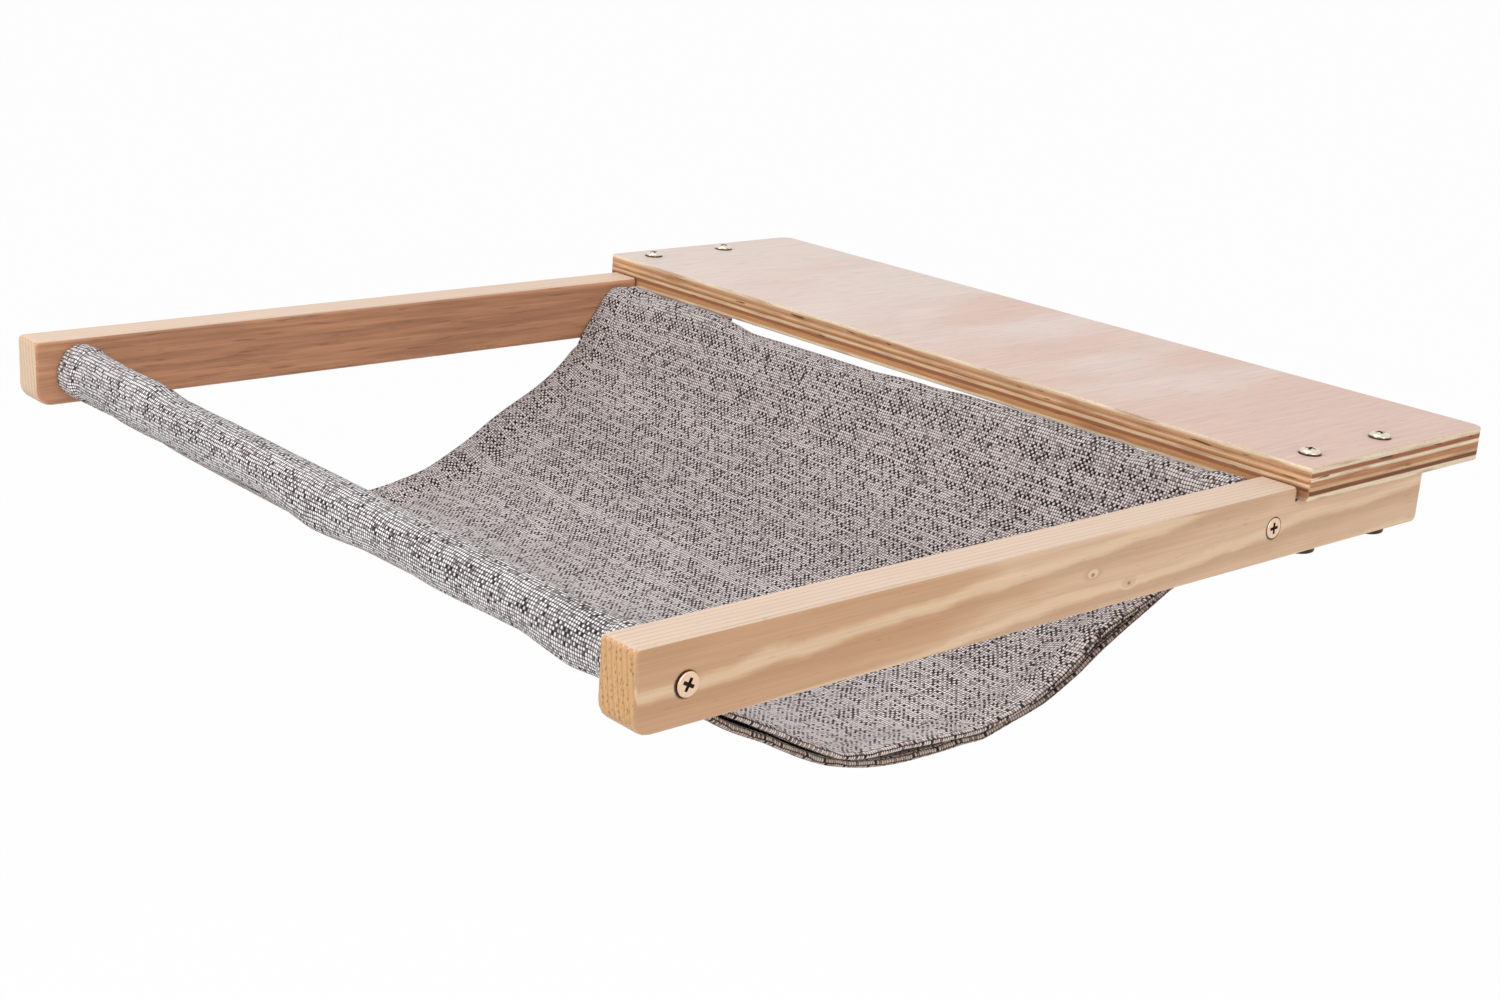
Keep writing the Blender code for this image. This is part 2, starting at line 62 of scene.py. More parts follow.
ROOT = "root"
SIDES = (("left", -1), ("right", 1))
ENDS = ("front", "rear")
MAP_MARGIN = 0.1
ROUND_STEPS = 48


def middle_of(node):
    """The middle of a CAD node's box."""
    return [sum(pair) / 2 for pair in zip(*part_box(node))]


def rod_seat(name):
    """The place from front to back, the height and the radius of a rod."""
    low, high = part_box(name)
    return (low.y + high.y) / 2, (low.z + high.z) / 2, (high.z - low.z) / 2


FRONT_ROD_Y, ROD_Z, ROD_RADIUS = rod_seat("front_rod")
REAR_ROD_Y = rod_seat("rear_rod")[0]
RAIL_INNER_X, RAIL_OUTER_X = (corner.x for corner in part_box("right_side_rail"))
SHELF_LOW, SHELF_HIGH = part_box("shelf_board")


def colour_property(name, description, default):
    """A colour that a user may change."""
    return FloatVectorProperty(
        name=name, description=description, default=default, subtype="COLOR", size=3, min=0, max=1
    )


def length_property(name, description, default):
    """A length that a user may change."""
    return FloatProperty(name=name, description=description, default=default, unit="LENGTH", precision=4)


class HammockCloth(bpy.types.PropertyGroup):
    """Sizes and yarn colours of the sewn sling."""

    thickness: length_property("Cloth thickness", "One layer of the woven cloth", 0.0014)
    yarn_pitch: length_property("Yarn pitch", "From one yarn to the next", 0.00172)
    end_gap: length_property("End gap", "Between the sling's pockets and the rails", 0.0008)
    left_sag: length_property("Left sag", "How far the left edge hangs below the rods", 0.095)
    right_sag: length_property("Right sag", "How far the right edge hangs below the rods", 0.090)
    middle_sag: length_property("Middle sag", "How much further the middle hangs", 0.004)
    pocket_reach: length_property("Pocket reach", "From a rod's centre to its pocket's seam", 0.040)
    hem_width: length_property("Hem width", "The folded hems along both sides", 0.016)
    left_lip: length_property("Left lip", "How far the left hem stands above the cloth", 0.0080)
    right_lip: length_property("Right lip", "How far the right hem stands above the cloth", 0.0020)
    ripple: length_property("Ripple", "Height of the cloth's shallow waves", 0.0011)
    gape: length_property("Gape", "How far the two layers part at the hems", 0.0026)
    dark_yarn: colour_property("Dark yarn", "Shade between yarns, darkest fibres", (0.022, 0.015, 0.013))
    middle_yarn: colour_property("Middle yarn", "The grey fibres", (0.53, 0.455, 0.435))
    light_yarn: colour_property("Light yarn", "The palest fibres", (0.98, 0.925, 0.905))


class HammockTimber(bpy.types.PropertyGroup):
    """Colours of the rails, the rods and the shelf."""

    cream: colour_property("Cream pine", "The palest bands on the rails' sides", (0.78, 0.56, 0.365))
    pale: colour_property("Pale pine", "Early wood on the rails' sides", (0.70, 0.475, 0.31))
    honey: colour_property("Honey pine", "Late wood on the rails' sides", (0.60, 0.355, 0.20))
    deep: colour_property("Deep pine", "The darkest grain", (0.45, 0.24, 0.12))
    top: colour_property("Rail tops", "The pale planed tops of the rails", (0.72, 0.54, 0.41))
    near_end: colour_property("Right rail's end", "Orange end grain", (0.62, 0.36, 0.165))
    far_end: colour_property("Left rail's end", "Pale end grain", (0.67, 0.49, 0.34))
    far_red: colour_property("Left rail, red", "The left rail's brown inner side", (0.50, 0.245, 0.135))
    veneer: colour_property("Veneer", "The shelf's pinkish faces", (0.68, 0.52, 0.44))
    ply_light: colour_property("Pale plies", "The cream plies at the shelf's edges", (0.82, 0.66, 0.46))
    ply_dark: colour_property("Dark plies", "The darkest plies at the shelf's edges", (0.19, 0.065, 0.022))


class HammockFixings(bpy.types.PropertyGroup):
    """Sizes and colours of the screws, bolts and nuts."""

    recess_span: length_property("Recess span", "Across a head's cross recess", 0.0089)
    recess_slot: length_property("Recess slot", "Width of the recess's arms", 0.0018)
    recess_depth: length_property("Recess depth", "How deep the recess goes", 0.0022)
    edge_bevel: length_property("Edge bevel", "Rounding of the metal's edges", 0.00022)
    screw_gold: colour_property("Screw gold", "Yellow zinc of the rod screws", (0.84, 0.56, 0.44))
    bolt_zinc: colour_property("Bolt zinc", "Bright zinc of the shelf bolts", (0.74, 0.69, 0.58))
    nut_bronze: colour_property("Nut bronze", "Dark plating of the nuts", (0.030, 0.018, 0.012))
    # recess_shade is the colour of the painted shade inside the cross recesses.
    recess_shade: colour_property("Recess shade", "Dark film inside the recesses", (0.020, 0.011, 0.008))


class HammockStudio(bpy.types.PropertyGroup):
    """The floor, the lamps and the camera."""

    floor_drop: length_property("Floor drop", "From the shelf down to the floor", 1.25)
    floor_span: length_property("Floor span", "Side of the square floor", 60.0)
    floor_colour: colour_property("Floor colour", "The pale floor", (0.92, 0.92, 0.92))
    lens: FloatProperty(name="Lens", description="Focal length in millimetres", default=52.03)
    roll: FloatProperty(name="Roll", description="Tilt of the camera sideways", default=math.radians(3.933),
                        subtype="ANGLE")
    azimuth: FloatProperty(name="Azimuth", description="Camera's turn about the object",
                           default=math.radians(47.764), subtype="ANGLE")
    elevation: FloatProperty(name="Elevation", description="How steeply the camera looks down",
                             default=math.radians(17.438), subtype="ANGLE")
    place: FloatVectorProperty(name="Camera place", description="Where the camera stands", size=3,
                               default=(0.91166, -1.119762, 0.314029), subtype="TRANSLATION")


# Node helpers


class Flow:
    """A number, vector or colour on its way through a material's nodes; reckoning with it adds Math nodes."""

    def __init__(self, tree, socket):
        self.tree = tree
        self.socket = socket

    def __add__(self, other):
        return reckon("ADD", self, other)

    def __radd__(self, other):
        return reckon("ADD", other, self)

    def __sub__(self, other):
        return reckon("SUBTRACT", self, other)

    def __rsub__(self, other):
        return reckon("SUBTRACT", other, self)

    def __mul__(self, other):
        return reckon("MULTIPLY", self, other)

    def __truediv__(self, other):
        return reckon("DIVIDE", self, other)


def feed(socket, value):
    """Sets an input, or links it where the value is a flow."""
    if isinstance(value, Flow):
        value.tree.links.new(value.socket, socket)
    elif isinstance(value, (tuple, list)) and len(value) == 3 and socket.type == "RGBA":
        socket.default_value = (*value, 1)
    else:
        socket.default_value = value


def put(tree, kind, inputs=None, output=0, **settings):
    """Adds a node with its settings and its inputs, by name or by number, and gives one of its outputs."""
    made = tree.nodes.new(kind)
    for name, value in settings.items():
        setattr(made, name, value)
    for key, value in (inputs or {}).items():
        feed(made.inputs[key], value)
    return Flow(tree, made.outputs[output])


def tree_of(*values):
    """The node tree of the first flow among some values."""
    return next(value.tree for value in values if isinstance(value, Flow))


def reckon(operation, *values):
    """One Math node."""
    return put(tree_of(*values), "ShaderNodeMath", dict(enumerate(values)), operation=operation)


def reckon_vector(operation, *values, output=0):
    """One Vector Math node."""
    return put(tree_of(*values), "ShaderNodeVectorMath", dict(enumerate(values)), output, operation=operation)


def between(value, low, high, out_low=0.0, out_high=1.0, smooth=True):
    """Maps a value's range to another, smoothly or straight, with stops at its ends."""
    inputs = {0: value, 1: low, 2: high, 3: out_low, 4: out_high}
    kind = "SMOOTHSTEP" if smooth else "LINEAR"
    return put(value.tree, "ShaderNodeMapRange", inputs, interpolation_type=kind)


def mixed(share, first, second, mode="MIX"):
    """Goes from one colour to another by a share."""
    inputs = {"Factor": share, "A": first, "B": second}
    return put(tree_of(share, first, second), "ShaderNodeMix", inputs, "Result", data_type="RGBA",
               blend_type=mode, clamp_factor=True)


def mixed_value(share, first, second):
    """Goes from one number to another by a share."""
    inputs = {"Factor": share, "A": first, "B": second}
    return put(tree_of(share, first, second), "ShaderNodeMix", inputs, "Result", data_type="FLOAT",
               clamp_factor=True)


def tinted(colour, tint, share=1.0):
    """A colour multiplied by another, as far as a share says."""
    return mixed(share, colour, tint, "MULTIPLY")


def stretched(place, scale, shift=(0, 0, 0)):
    """The place, moved and then scaled on each axis."""
    return reckon_vector("MULTIPLY", reckon_vector("ADD", place, shift), scale)


def cloudy(place, scale=1.0, detail=2.0, roughness=0.5):
    """A Noise Texture's value, about 0.5 on average."""
    inputs = {"Vector": place, "Scale": scale, "Detail": detail, "Roughness": roughness}
    return put(place.tree, "ShaderNodeTexNoise", inputs)


def cells(place):
    """A Voronoi Texture's distance from the nearest cell's middle."""
    return put(place.tree, "ShaderNodeTexVoronoi", {"Vector": place, "Scale": 1.0}, "Distance")


def centred(value, reach):
    """A value from 0 to 1, moved to lie about 0 and scaled to a reach."""
    return (value - 0.5) * reach


def paint(red, green, blue):
    """The linear colour of a paint chart's 0 to 255 values."""
    shares = [value / 255 for value in (red, green, blue)]
    return tuple(share / 12.92 if share <= 0.04 else ((share + 0.055) / 1.055) ** 2.4 for share in shares)


def dimmed(colour, share):
    """A colour made darker, or lighter by a share over 1."""
    return tuple(min(1.0, c * share) for c in colour)


def parted(vector):
    """The X, Y and Z of a vector."""
    outputs = put(vector.tree, "ShaderNodeSeparateXYZ", {0: vector}).socket.node.outputs
    return [Flow(vector.tree, output) for output in outputs]


def joined(x, y, z=0.0):
    """A vector from three numbers."""
    return put(tree_of(x, y, z), "ShaderNodeCombineXYZ", {0: x, 1: y, 2: z})


def seeded(place, seed):
    """The place moved by a seed on every axis."""
    return reckon_vector("ADD", place, joined(seed, seed, seed))


def ramp(value, stops):
    """A Color Ramp from (place, colour) stops."""
    made = put(value.tree, "ShaderNodeValToRGB", {0: value})
    elements = made.socket.node.color_ramp.elements
    while len(elements) < len(stops):
        elements.new(1)
    for element, (place, colour) in zip(elements, stops):
        element.position = place
        element.color = (*colour, 1)
    return made


def new_group(name, inputs, outputs):
    """An empty shader node group with its sockets; gives its inputs by name, and its output node."""
    tree = bpy.data.node_groups.new(name, "ShaderNodeTree")
    for label, kind, default in inputs:
        socket = tree.interface.new_socket(label, in_out="INPUT", socket_type="NodeSocket" + kind)
        if default is not None:
            socket.default_value = default
    for label, kind in outputs:
        tree.interface.new_socket(label, in_out="OUTPUT", socket_type="NodeSocket" + kind)
    start, end = tree.nodes.new("NodeGroupInput"), tree.nodes.new("NodeGroupOutput")
    return {label: Flow(tree, start.outputs[label]) for label, _, _ in inputs}, end


def feed_all(node, inputs):
    """Feeds a node's inputs by name."""
    for label, value in inputs.items():
        feed(node.inputs[label], value)


def use_group(tree, name, **inputs):
    """Places a node group in a material, and gives its outputs by name."""
    made = tree.nodes.new("ShaderNodeGroup")
    made.node_tree = bpy.data.node_groups[name]
    feed_all(made, inputs)
    return {socket.name: Flow(tree, socket) for socket in made.outputs}


def new_material(name):
    """An empty node material; gives it and its tree."""
    material = bpy.data.materials.new(name)
    material.use_nodes = True
    return material, material.node_tree


def finished(material, inputs):
    """Feeds a material's Principled shader, and gives the material."""
    feed_all(material.node_tree.nodes["Principled BSDF"], inputs)
    return material


def bump(height, distance, strength):
    """A Bump node's normal from a height."""
    inputs = {"Height": height, "Distance": distance, "Strength": strength}
    return put(height.tree, "ShaderNodeBump", inputs, "Normal")


def object_place(tree):
    """The surface's place in the model's frame."""
    return put(tree, "ShaderNodeTexCoord", output="Object")


def dress(obj, material):
    """Gives an object one material."""
    obj.data.materials.clear()
    obj.data.materials.append(material)
    return obj


# Shared effects


def make_weave_group():
    """Plain weave of mottled yarns, laid out in metres on a flat map, with painted shade in the gaps between
    yarns.
    """
    given, end = new_group(
        "plain_weave",
        [("Place", "Vector", None), ("Pitch", "Float", 0.002), ("Dark", "Color", None),
         ("Middle", "Color", None), ("Light", "Color", None), ("Check", "Float", 0.0)],
        [("Colour", "Color"), ("Height", "Float")],
    )
    place, check = given["Place"], given["Check"]
    across, along, _ = parted(place)
    sway = centred(cloudy(place, 60), 0.0020)
    sway_along = centred(cloudy(stretched(place, (1, 1, 1), (3.1, 1.7, 0)), 55), 0.0020)
    column = (across + sway) / given["Pitch"]
    row = (along + sway_along) / given["Pitch"]
    column_index, row_index = reckon("FLOOR", column), reckon("FLOOR", row)
    crown_across = reckon("SINE", reckon("FRACT", column) * math.pi)
    crown_along = reckon("SINE", reckon("FRACT", row) * math.pi)
    warp_up = reckon("FLOORED_MODULO", column_index + row_index, 2.0)

    def yarn_tone(index, run, seed):
        """Slow and quick changes of shade along one yarn, about 0 on average."""
        own = put(index.tree, "ShaderNodeTexWhiteNoise", {"W": index + seed}, noise_dimensions="1D")
        slow = cloudy(joined(index * 7.31, run * 0.10, seed), 1.0, 2.0, 0.6)
        quick = cloudy(joined(index * 5.77, run, seed + 9.0), 1.0, 1.0)
        return centred(own, 0.36) + centred(slow, 0.80) + centred(quick, 0.86)

    tone = mixed_value(warp_up, yarn_tone(row_index, column, 31.0), yarn_tone(column_index, row, 2.0))
    crossing = joined(column_index, row_index)
    cell = put(place.tree, "ShaderNodeTexWhiteNoise", {"Vector": crossing}, noise_dimensions="2D")
    fibre = cloudy(joined(column * 3.0, row * 3.0), 1.6, 3.0, 0.7)
    tone = tone + centred(cell, 0.66) + centred(fibre, 0.26)
    weft_level, warp_level = mixed_value(check, 0.60, 0.46), mixed_value(check, 0.80, 1.00)
    tone = tone * mixed_value(check, 1.0, 1.2) + mixed_value(warp_up, weft_level, warp_level)
    colour = mixed(between(tone, 0.16, 0.44), given["Dark"], given["Middle"])
    colour = mixed(between(tone, 0.44, 0.74), colour, given["Light"])
    over = reckon("POWER", crown_across * crown_along, 0.6)
    # Painted shade: the gaps between the yarns' crowns take the dark colour, in patches.
    patch = between(cloudy(stretched(place, (1, 1, 1), (7.7, 5.1, 0)), 38), 0.36, 0.62, 0.86, 1.0)
    gap = between(over, 0.26, mixed_value(check, 0.86, 0.58), 1.0, 0.0) * patch
    feed_all(end, {"Colour": mixed(gap, colour, given["Dark"]), "Height": over})


def make_pine_group():
    """Growth rings in planes across X, swayed along the board, with fibres and pores along Y."""
    given, end = new_group(
        "pine_grain",
        [("Place", "Vector", None), ("Spacing", "Float", 0.004), ("Slope", "Float", 0.15),
         ("Climb", "Float", 0.076), ("Sway", "Float", 0.003), ("Seed", "Float", 0.0),
         ("Knots", "Float", 0.0)],
        [("Turn", "Float"), ("Fibre", "Float"), ("Pore", "Float"), ("Cloud", "Float")],
    )
    x, y, z = parted(given["Place"])
    place = seeded(given["Place"], given["Seed"])
    drift = centred(cloudy(stretched(place, (5, 8, 24)), 1.0, 1.0, 0.4), 2.0)
    wobble = centred(cloudy(stretched(place, (12, 46, 95), (0.9, 0.1, 0.5))), 0.34)
    lean = given["Slope"] * (z - given["Climb"] * y)
    depth = x + lean + (drift + wobble) * given["Sway"] + given["Knots"] * 0.0021
    feed_all(end, {
        "Turn": reckon("FRACT", depth / given["Spacing"]),
        "Fibre": cloudy(stretched(place, (1300, 14, 1300)), 1.0, 3.0, 0.6),
        "Pore": between(cells(stretched(place, (900, 40, 900))), 0.10, 0.32, 1.0, 0.0),
        "Cloud": cloudy(stretched(place, (14, 9, 30), (0.4, 0.2, 0.7)), 1.0, 3.0, 0.55),
    })


def make_head_shade_group():
    """A thin dark ring of painted shade where a round head meets the wood, about an axis along X or Z."""
    given, end = new_group(
        "head_shade_ring",
        [("Place", "Vector", None), ("Centre", "Vector", None), ("Keep", "Vector", (1, 1, 1)),
         ("Inner", "Float", 0.0057), ("Outer", "Float", 0.0064)],
        [("Ring", "Float")],
    )
    away = reckon_vector("SUBTRACT", given["Place"], given["Centre"])
    distance = reckon_vector("LENGTH", reckon_vector("MULTIPLY", away, given["Keep"]), output="Value")
    distance = distance + centred(cloudy(given["Place"], 900), 0.0006)
    share = (distance - given["Inner"]) / (given["Outer"] - given["Inner"])
    feed_all(end, {"Ring": between(share, 0.0, 1.0, 1.0, 0.0)})


def make_wear_group():
    """Fine scratches and stains for plated metal."""
    given, end = new_group(
        "plating_wear",
        [("Place", "Vector", None), ("Seed", "Float", 0.0)],
        [("Stain", "Float"), ("Scratch", "Float")],
    )
    place = seeded(given["Place"], given["Seed"])
    scratch = cloudy(stretched(place, (4200, 900, 2600)), 1.0, 3.0, 0.7)
    feed_all(end, {"Stain": cloudy(place, 420, 3.0, 0.6), "Scratch": scratch})


# Finishes


def facing_axis(tree, axis):
    """How squarely the surface faces an axis of the model, either way, from 0 to 1."""
    normal = put(tree, "ShaderNodeTexCoord", output="Normal")
    return reckon("ABSOLUTE", parted(normal)[axis])


def toned(colour, noise_value, low, high):
    """A colour made lighter and darker by a noise."""
    light = between(noise_value, 0.28, 0.72, low, high, smooth=False)
    return tinted(colour, joined(light, light, light))


def head_shaded(tree, place, colour, centres, keep, reach=0.0):
    """Darkens the wood round each head with a ring of painted shade."""
    for centre in centres:
        ring = use_group(tree, "head_shade_ring", Place=place, Centre=centre, Keep=keep,
                         Inner=0.0058 + reach, Outer=0.0069 + reach)
        colour = mixed(ring["Ring"] * 0.94, colour, paint(40, 20, 12))
    return colour


def pine_tones(timber):
    """The colours that all pine pieces share."""
    return {"cream": tuple(timber.cream), "pale": tuple(timber.pale), "mid": tuple(timber.honey),
            "deep": tuple(timber.deep), "top": tuple(timber.top)}


def pine_material(name, tones, side, grain, heads=(), knots=()):
    """Planed pine with a pale top, a darker end and its own colours on the long sides."""
    material, tree = new_material(name)
    place = object_place(tree)
    x, y, z = parted(place)
    outward = x * side

    def knot_distance(knot_y, knot_z, squeeze):
        """How far the surface lies from a knot's middle, with the way along the rail squeezed."""
        return reckon_vector("LENGTH", joined(0.0, (y - knot_y) * squeeze, z - knot_z), output="Value")

    swell = 0.0
    for knot_y, knot_z, radius in knots:
        swell = swell + between(knot_distance(knot_y, knot_z, 0.55), radius * 0.2, radius * 3.2, 1.0, 0.0)
    wood = use_group(tree, "pine_grain", Place=place, Knots=swell, **grain)
    turn, fibre = wood["Turn"], wood["Fibre"]

    def ring_line(rise, crest, fall, close):
        """A line once in each growth ring, which fades in and out."""
        return between(turn, rise, crest) * between(turn, fall, close, 1.0, 0.0)

    paler = wood["Cloud"] + between(y, -0.53, -0.34, -0.15, 0.24)
    colour = mixed(between(paler, 0.40, 0.68, 0.0, 0.90), tones["mid"], tones["pale"])
    colour = mixed(ring_line(0.15, 0.60, 0.62, 0.70) * 0.42, colour, tones["deep"])
    colour = mixed(ring_line(0.66, 0.78, 0.84, 0.99) * 0.85, colour, tones["cream"])
    if "brown" in tones:
        brown = tones["brown"]
        inner = between(outward, RAIL_INNER_X + 0.0002, RAIL_INNER_X + 0.0012, 1.0, 0.0)
        streak = cloudy(stretched(place, (300, 7, 170), (0.3, 0.8, 0.1)), 1.0, 4.0, 0.66)
        dash = between(cloudy(stretched(place, (600, 34, 620), (0.1, 0.2, 0.7))), 0.60, 0.72)
        streaky = mixed(between(streak, 0.34, 0.66), dimmed(brown, 1.30), dimmed(brown, 0.86))
        colour = mixed(inner, colour, mixed(dash * 0.55, streaky, dimmed(brown, 0.52)))
    top_colour = mixed(ring_line(0.55, 0.92, 0.93, 1.0) * 0.75, tones["top"], dimmed(tones["top"], 0.78))
    colour = mixed(between(facing_axis(tree, 2), 0.75, 0.95), colour, top_colour)
    end_grain = between(facing_axis(tree, 1), 0.75, 0.95)
    end_colour = mixed(ring_line(0.45, 0.85, 0.88, 1.0) * 0.65, tones["end"], dimmed(tones["end"], 0.70))
    colour = toned(mixed(end_grain, colour, end_colour), fibre, 0.90, 1.07)
    pit = between(cells(stretched(place, (760, 500, 400))), 0.24, 0.42, 1.0, 0.0)
    pit = pit * between(turn, 0.20, 0.42) * (end_grain * tones["pits"])
    speck = wood["Pore"] * between(cloudy(place, 240), 0.54, 0.64, 0.0, 0.22)
    pit = reckon("MAXIMUM", pit, speck)
    stain = mixed(end_grain, dimmed(tones["deep"], 0.30), dimmed(tones["deep"], 0.72))
    colour = mixed(pit, colour, stain)
    for knot_y, knot_z, radius in knots:
        outside = between(outward, RAIL_OUTER_X - 0.004, RAIL_OUTER_X - 0.001)
        spot = between(knot_distance(knot_y, knot_z, 0.8), radius * 0.3, radius, 0.8, 0.0) * outside
        colour = mixed(spot, colour, dimmed(tones["deep"], 0.55))
    # Painted shadow in the notch: the rail is darkened in a narrow band at the gap in front of the shelf's
    # front edge.
    slot = between(y, SHELF_LOW.y - 0.0020, SHELF_LOW.y - 0.0014)
    slot = slot * between(y, SHELF_LOW.y, SHELF_LOW.y + 0.0008, 1.0, 0.0)
    slot = slot * between(z, SHELF_LOW.z - 0.0012, SHELF_LOW.z - 0.0004)
    colour = mixed(slot * 0.92, colour, paint(46, 26, 18))
    return finished(material, {
        "Base Color": head_shaded(tree, place, colour, heads, (0.0, 1.0, 1.0)),
        "Roughness": between(fibre, 0.2, 0.8, 0.42, 0.60, smooth=False) + end_grain * 0.22,
        "Normal": bump(fibre * 0.5 - pit, 0.00012, 0.55),
        "Specular IOR Level": 0.32,
    })


def plywood_material(timber):
    """Seven plies with a pinkish face veneer; long grain and end grain change places round each corner."""
    material, tree = new_material("plywood")
    place = object_place(tree)
    x, y, z = parted(place)
    wave = centred(cloudy(stretched(place, (9, 9, 60)), 1.0, 3.0), 0.0010)
    level = (SHELF_HIGH.z - (z + wave)) / (SHELF_HIGH.z - SHELF_LOW.z)
    cream, tan, sand = tuple(timber.ply_light), paint(210, 170, 130), paint(222, 190, 150)
    red, brown, orange = paint(158, 100, 68), tuple(timber.ply_dark), paint(200, 146, 96)
    middle = paint(182, 128, 90)
    side_plies = ramp(level, [
        (0.0, cream), (0.14, cream), (0.18, red), (0.28, red), (0.32, cream), (0.39, cream), (0.43, middle),
        (0.57, middle), (0.61, tan), (0.67, tan), (0.71, brown), (0.81, brown), (0.85, cream), (1.0, cream),
    ])
    front_plies = ramp(level, [
        (0.0, cream), (0.08, cream), (0.12, tan), (0.24, middle), (0.30, tan), (0.34, sand), (0.39, orange),
        (0.46, red), (0.50, sand), (0.57, sand), (0.61, red), (0.69, red), (0.73, orange), (0.86, orange),
        (0.91, cream), (1.0, cream),
    ])
    end_face = between(facing_axis(tree, 0), 0.6, 0.9)
    run = mixed_value(end_face, x, y)

    def drawn_out(run_scale, height_scale, seed, detail, roughness=0.5):
        """A noise drawn out along the plies."""
        return cloudy(joined(run * run_scale, z * height_scale, seed), 1.0, detail, roughness)

    streak = drawn_out(30.0, 1300.0, 3.0, 4.0, 0.65)
    edge = toned(mixed(end_face, front_plies, side_plies), streak, 0.74, 1.20)
    edge = mixed(between(drawn_out(24.0, 260.0, 5.0, 2.0), 0.50, 0.68, 0.0, 0.50), edge, paint(150, 92, 58))
    edge = toned(edge, drawn_out(800.0, 2000.0, 7.0, 2.0, 0.6), 0.84, 1.12)
    core = between(level, 0.14, 0.18) * between(level, 0.40, 0.46, 1.0, 0.0)
    low = between(level, 0.58, 0.60) * between(level, 0.68, 0.74, 1.0, 0.0)
    hole = reckon("MAXIMUM", core, low) * between(drawn_out(46.0, 420.0, 11.0, 1.0), 0.66, 0.71)
    edge = mixed(hole * 0.85, edge, dimmed(brown, 0.35))
    # Painted shade: the shelf's front edge is darkened where it sits below the rail's top, beside the notch.
    corner = between(reckon("ABSOLUTE", x), RAIL_OUTER_X - 0.001, RAIL_OUTER_X)
    corner = corner * between(z, -0.0026, -0.0018, 1.0, 0.0)
    corner = corner * between(facing_axis(tree, 1), 0.75, 0.92)
    edge = mixed(corner * 0.62, edge, paint(112, 62, 44))

    grain = cloudy(stretched(place, (430, 17, 430)), 1.0, 4.0, 0.66)
    broad = cloudy(stretched(place, (13, 4.5, 1), (0.21, 0.37, 0)), 1.0, 3.0) + x * 0.60
    fleck = cloudy(stretched(place, (1100, 62, 1100)))
    face = mixed(between(broad, 0.36, 0.66), paint(220, 203, 194), paint(214, 178, 162))
    face = toned(mixed(0.3, face, tuple(timber.veneer)), grain, 0.85, 1.08)
    face = mixed(between(fleck, 0.58, 0.72, 0.0, 0.46), face, dimmed(timber.veneer, 0.60))
    chips = between(cloudy(stretched(place, (260, 260, 0))), 0.55, 0.64, 0.0, 0.35)
    arris = between(level, 0.006, 0.05, 1.0, 0.0) * chips
    # Painted shade: a dark ring on the veneer round each bolt head.
    heads = [middle_of(f"shelf_bolt_{end}_{label}") for end in ENDS for label, _ in SIDES]
    face = head_shaded(tree, place, face, heads, (1.0, 1.0, 0.0), 0.0001)
    flat = between(facing_axis(tree, 2), 0.80, 0.97)
    face_roughness = between(grain, 0.3, 0.7, 0.40, 0.52, smooth=False)
    return finished(material, {
        "Base Color": mixed(flat, mixed(arris, edge, paint(140, 112, 84)), face),
        "Roughness": mixed_value(flat, 0.72, face_roughness),
        "Normal": bump(mixed_value(flat, streak - hole, grain), 0.00018, 0.6),
        "Specular IOR Level": 0.35,
    })


def metal_material(name, colour, second, roughness, seed, metallic=1.0, rim=None):
    """Plated steel with stains and fine scratches; rim is the height under which the metal is darkened with
    painted shade, where the head meets the wood.
    """
    material, tree = new_material(name)
    place = object_place(tree)
    wear = use_group(tree, "plating_wear", Place=place, Seed=seed)
    tint = mixed(between(wear["Stain"], 0.38, 0.62), tuple(colour), second)
    if rim is not None:
        # Painted shade at the head's base: darker below rim, with a noisy edge.
        low = parted(place)[2] + centred(cloudy(place, 520), 0.0016)
        tint = mixed(between(low, rim, rim + 0.0005, 0.85, 0.0), tint, paint(74, 50, 36))
    return finished(material, {
        "Base Color": tint,
        "Roughness": between(wear["Stain"], 0.3, 0.7, roughness * 0.8, roughness * 1.35, smooth=False),
        "Normal": bump(wear["Scratch"], 0.00003, 0.5),
        "Metallic": metallic,
    })


def recess_shade_material(shade):
    """Painted shade inside a cross recess, dark and mottled."""
    material, tree = new_material("recess_painted_shade")
    mottle = cloudy(object_place(tree), 1800)
    return finished(material, {
        "Base Color": mixed(between(mottle, 0.40, 0.64), shade, dimmed(shade, 3.0)),
        "Roughness": between(mottle, 0.3, 0.7, 0.5, 0.8, smooth=False),
        "Specular IOR Level": 0.2,
    })


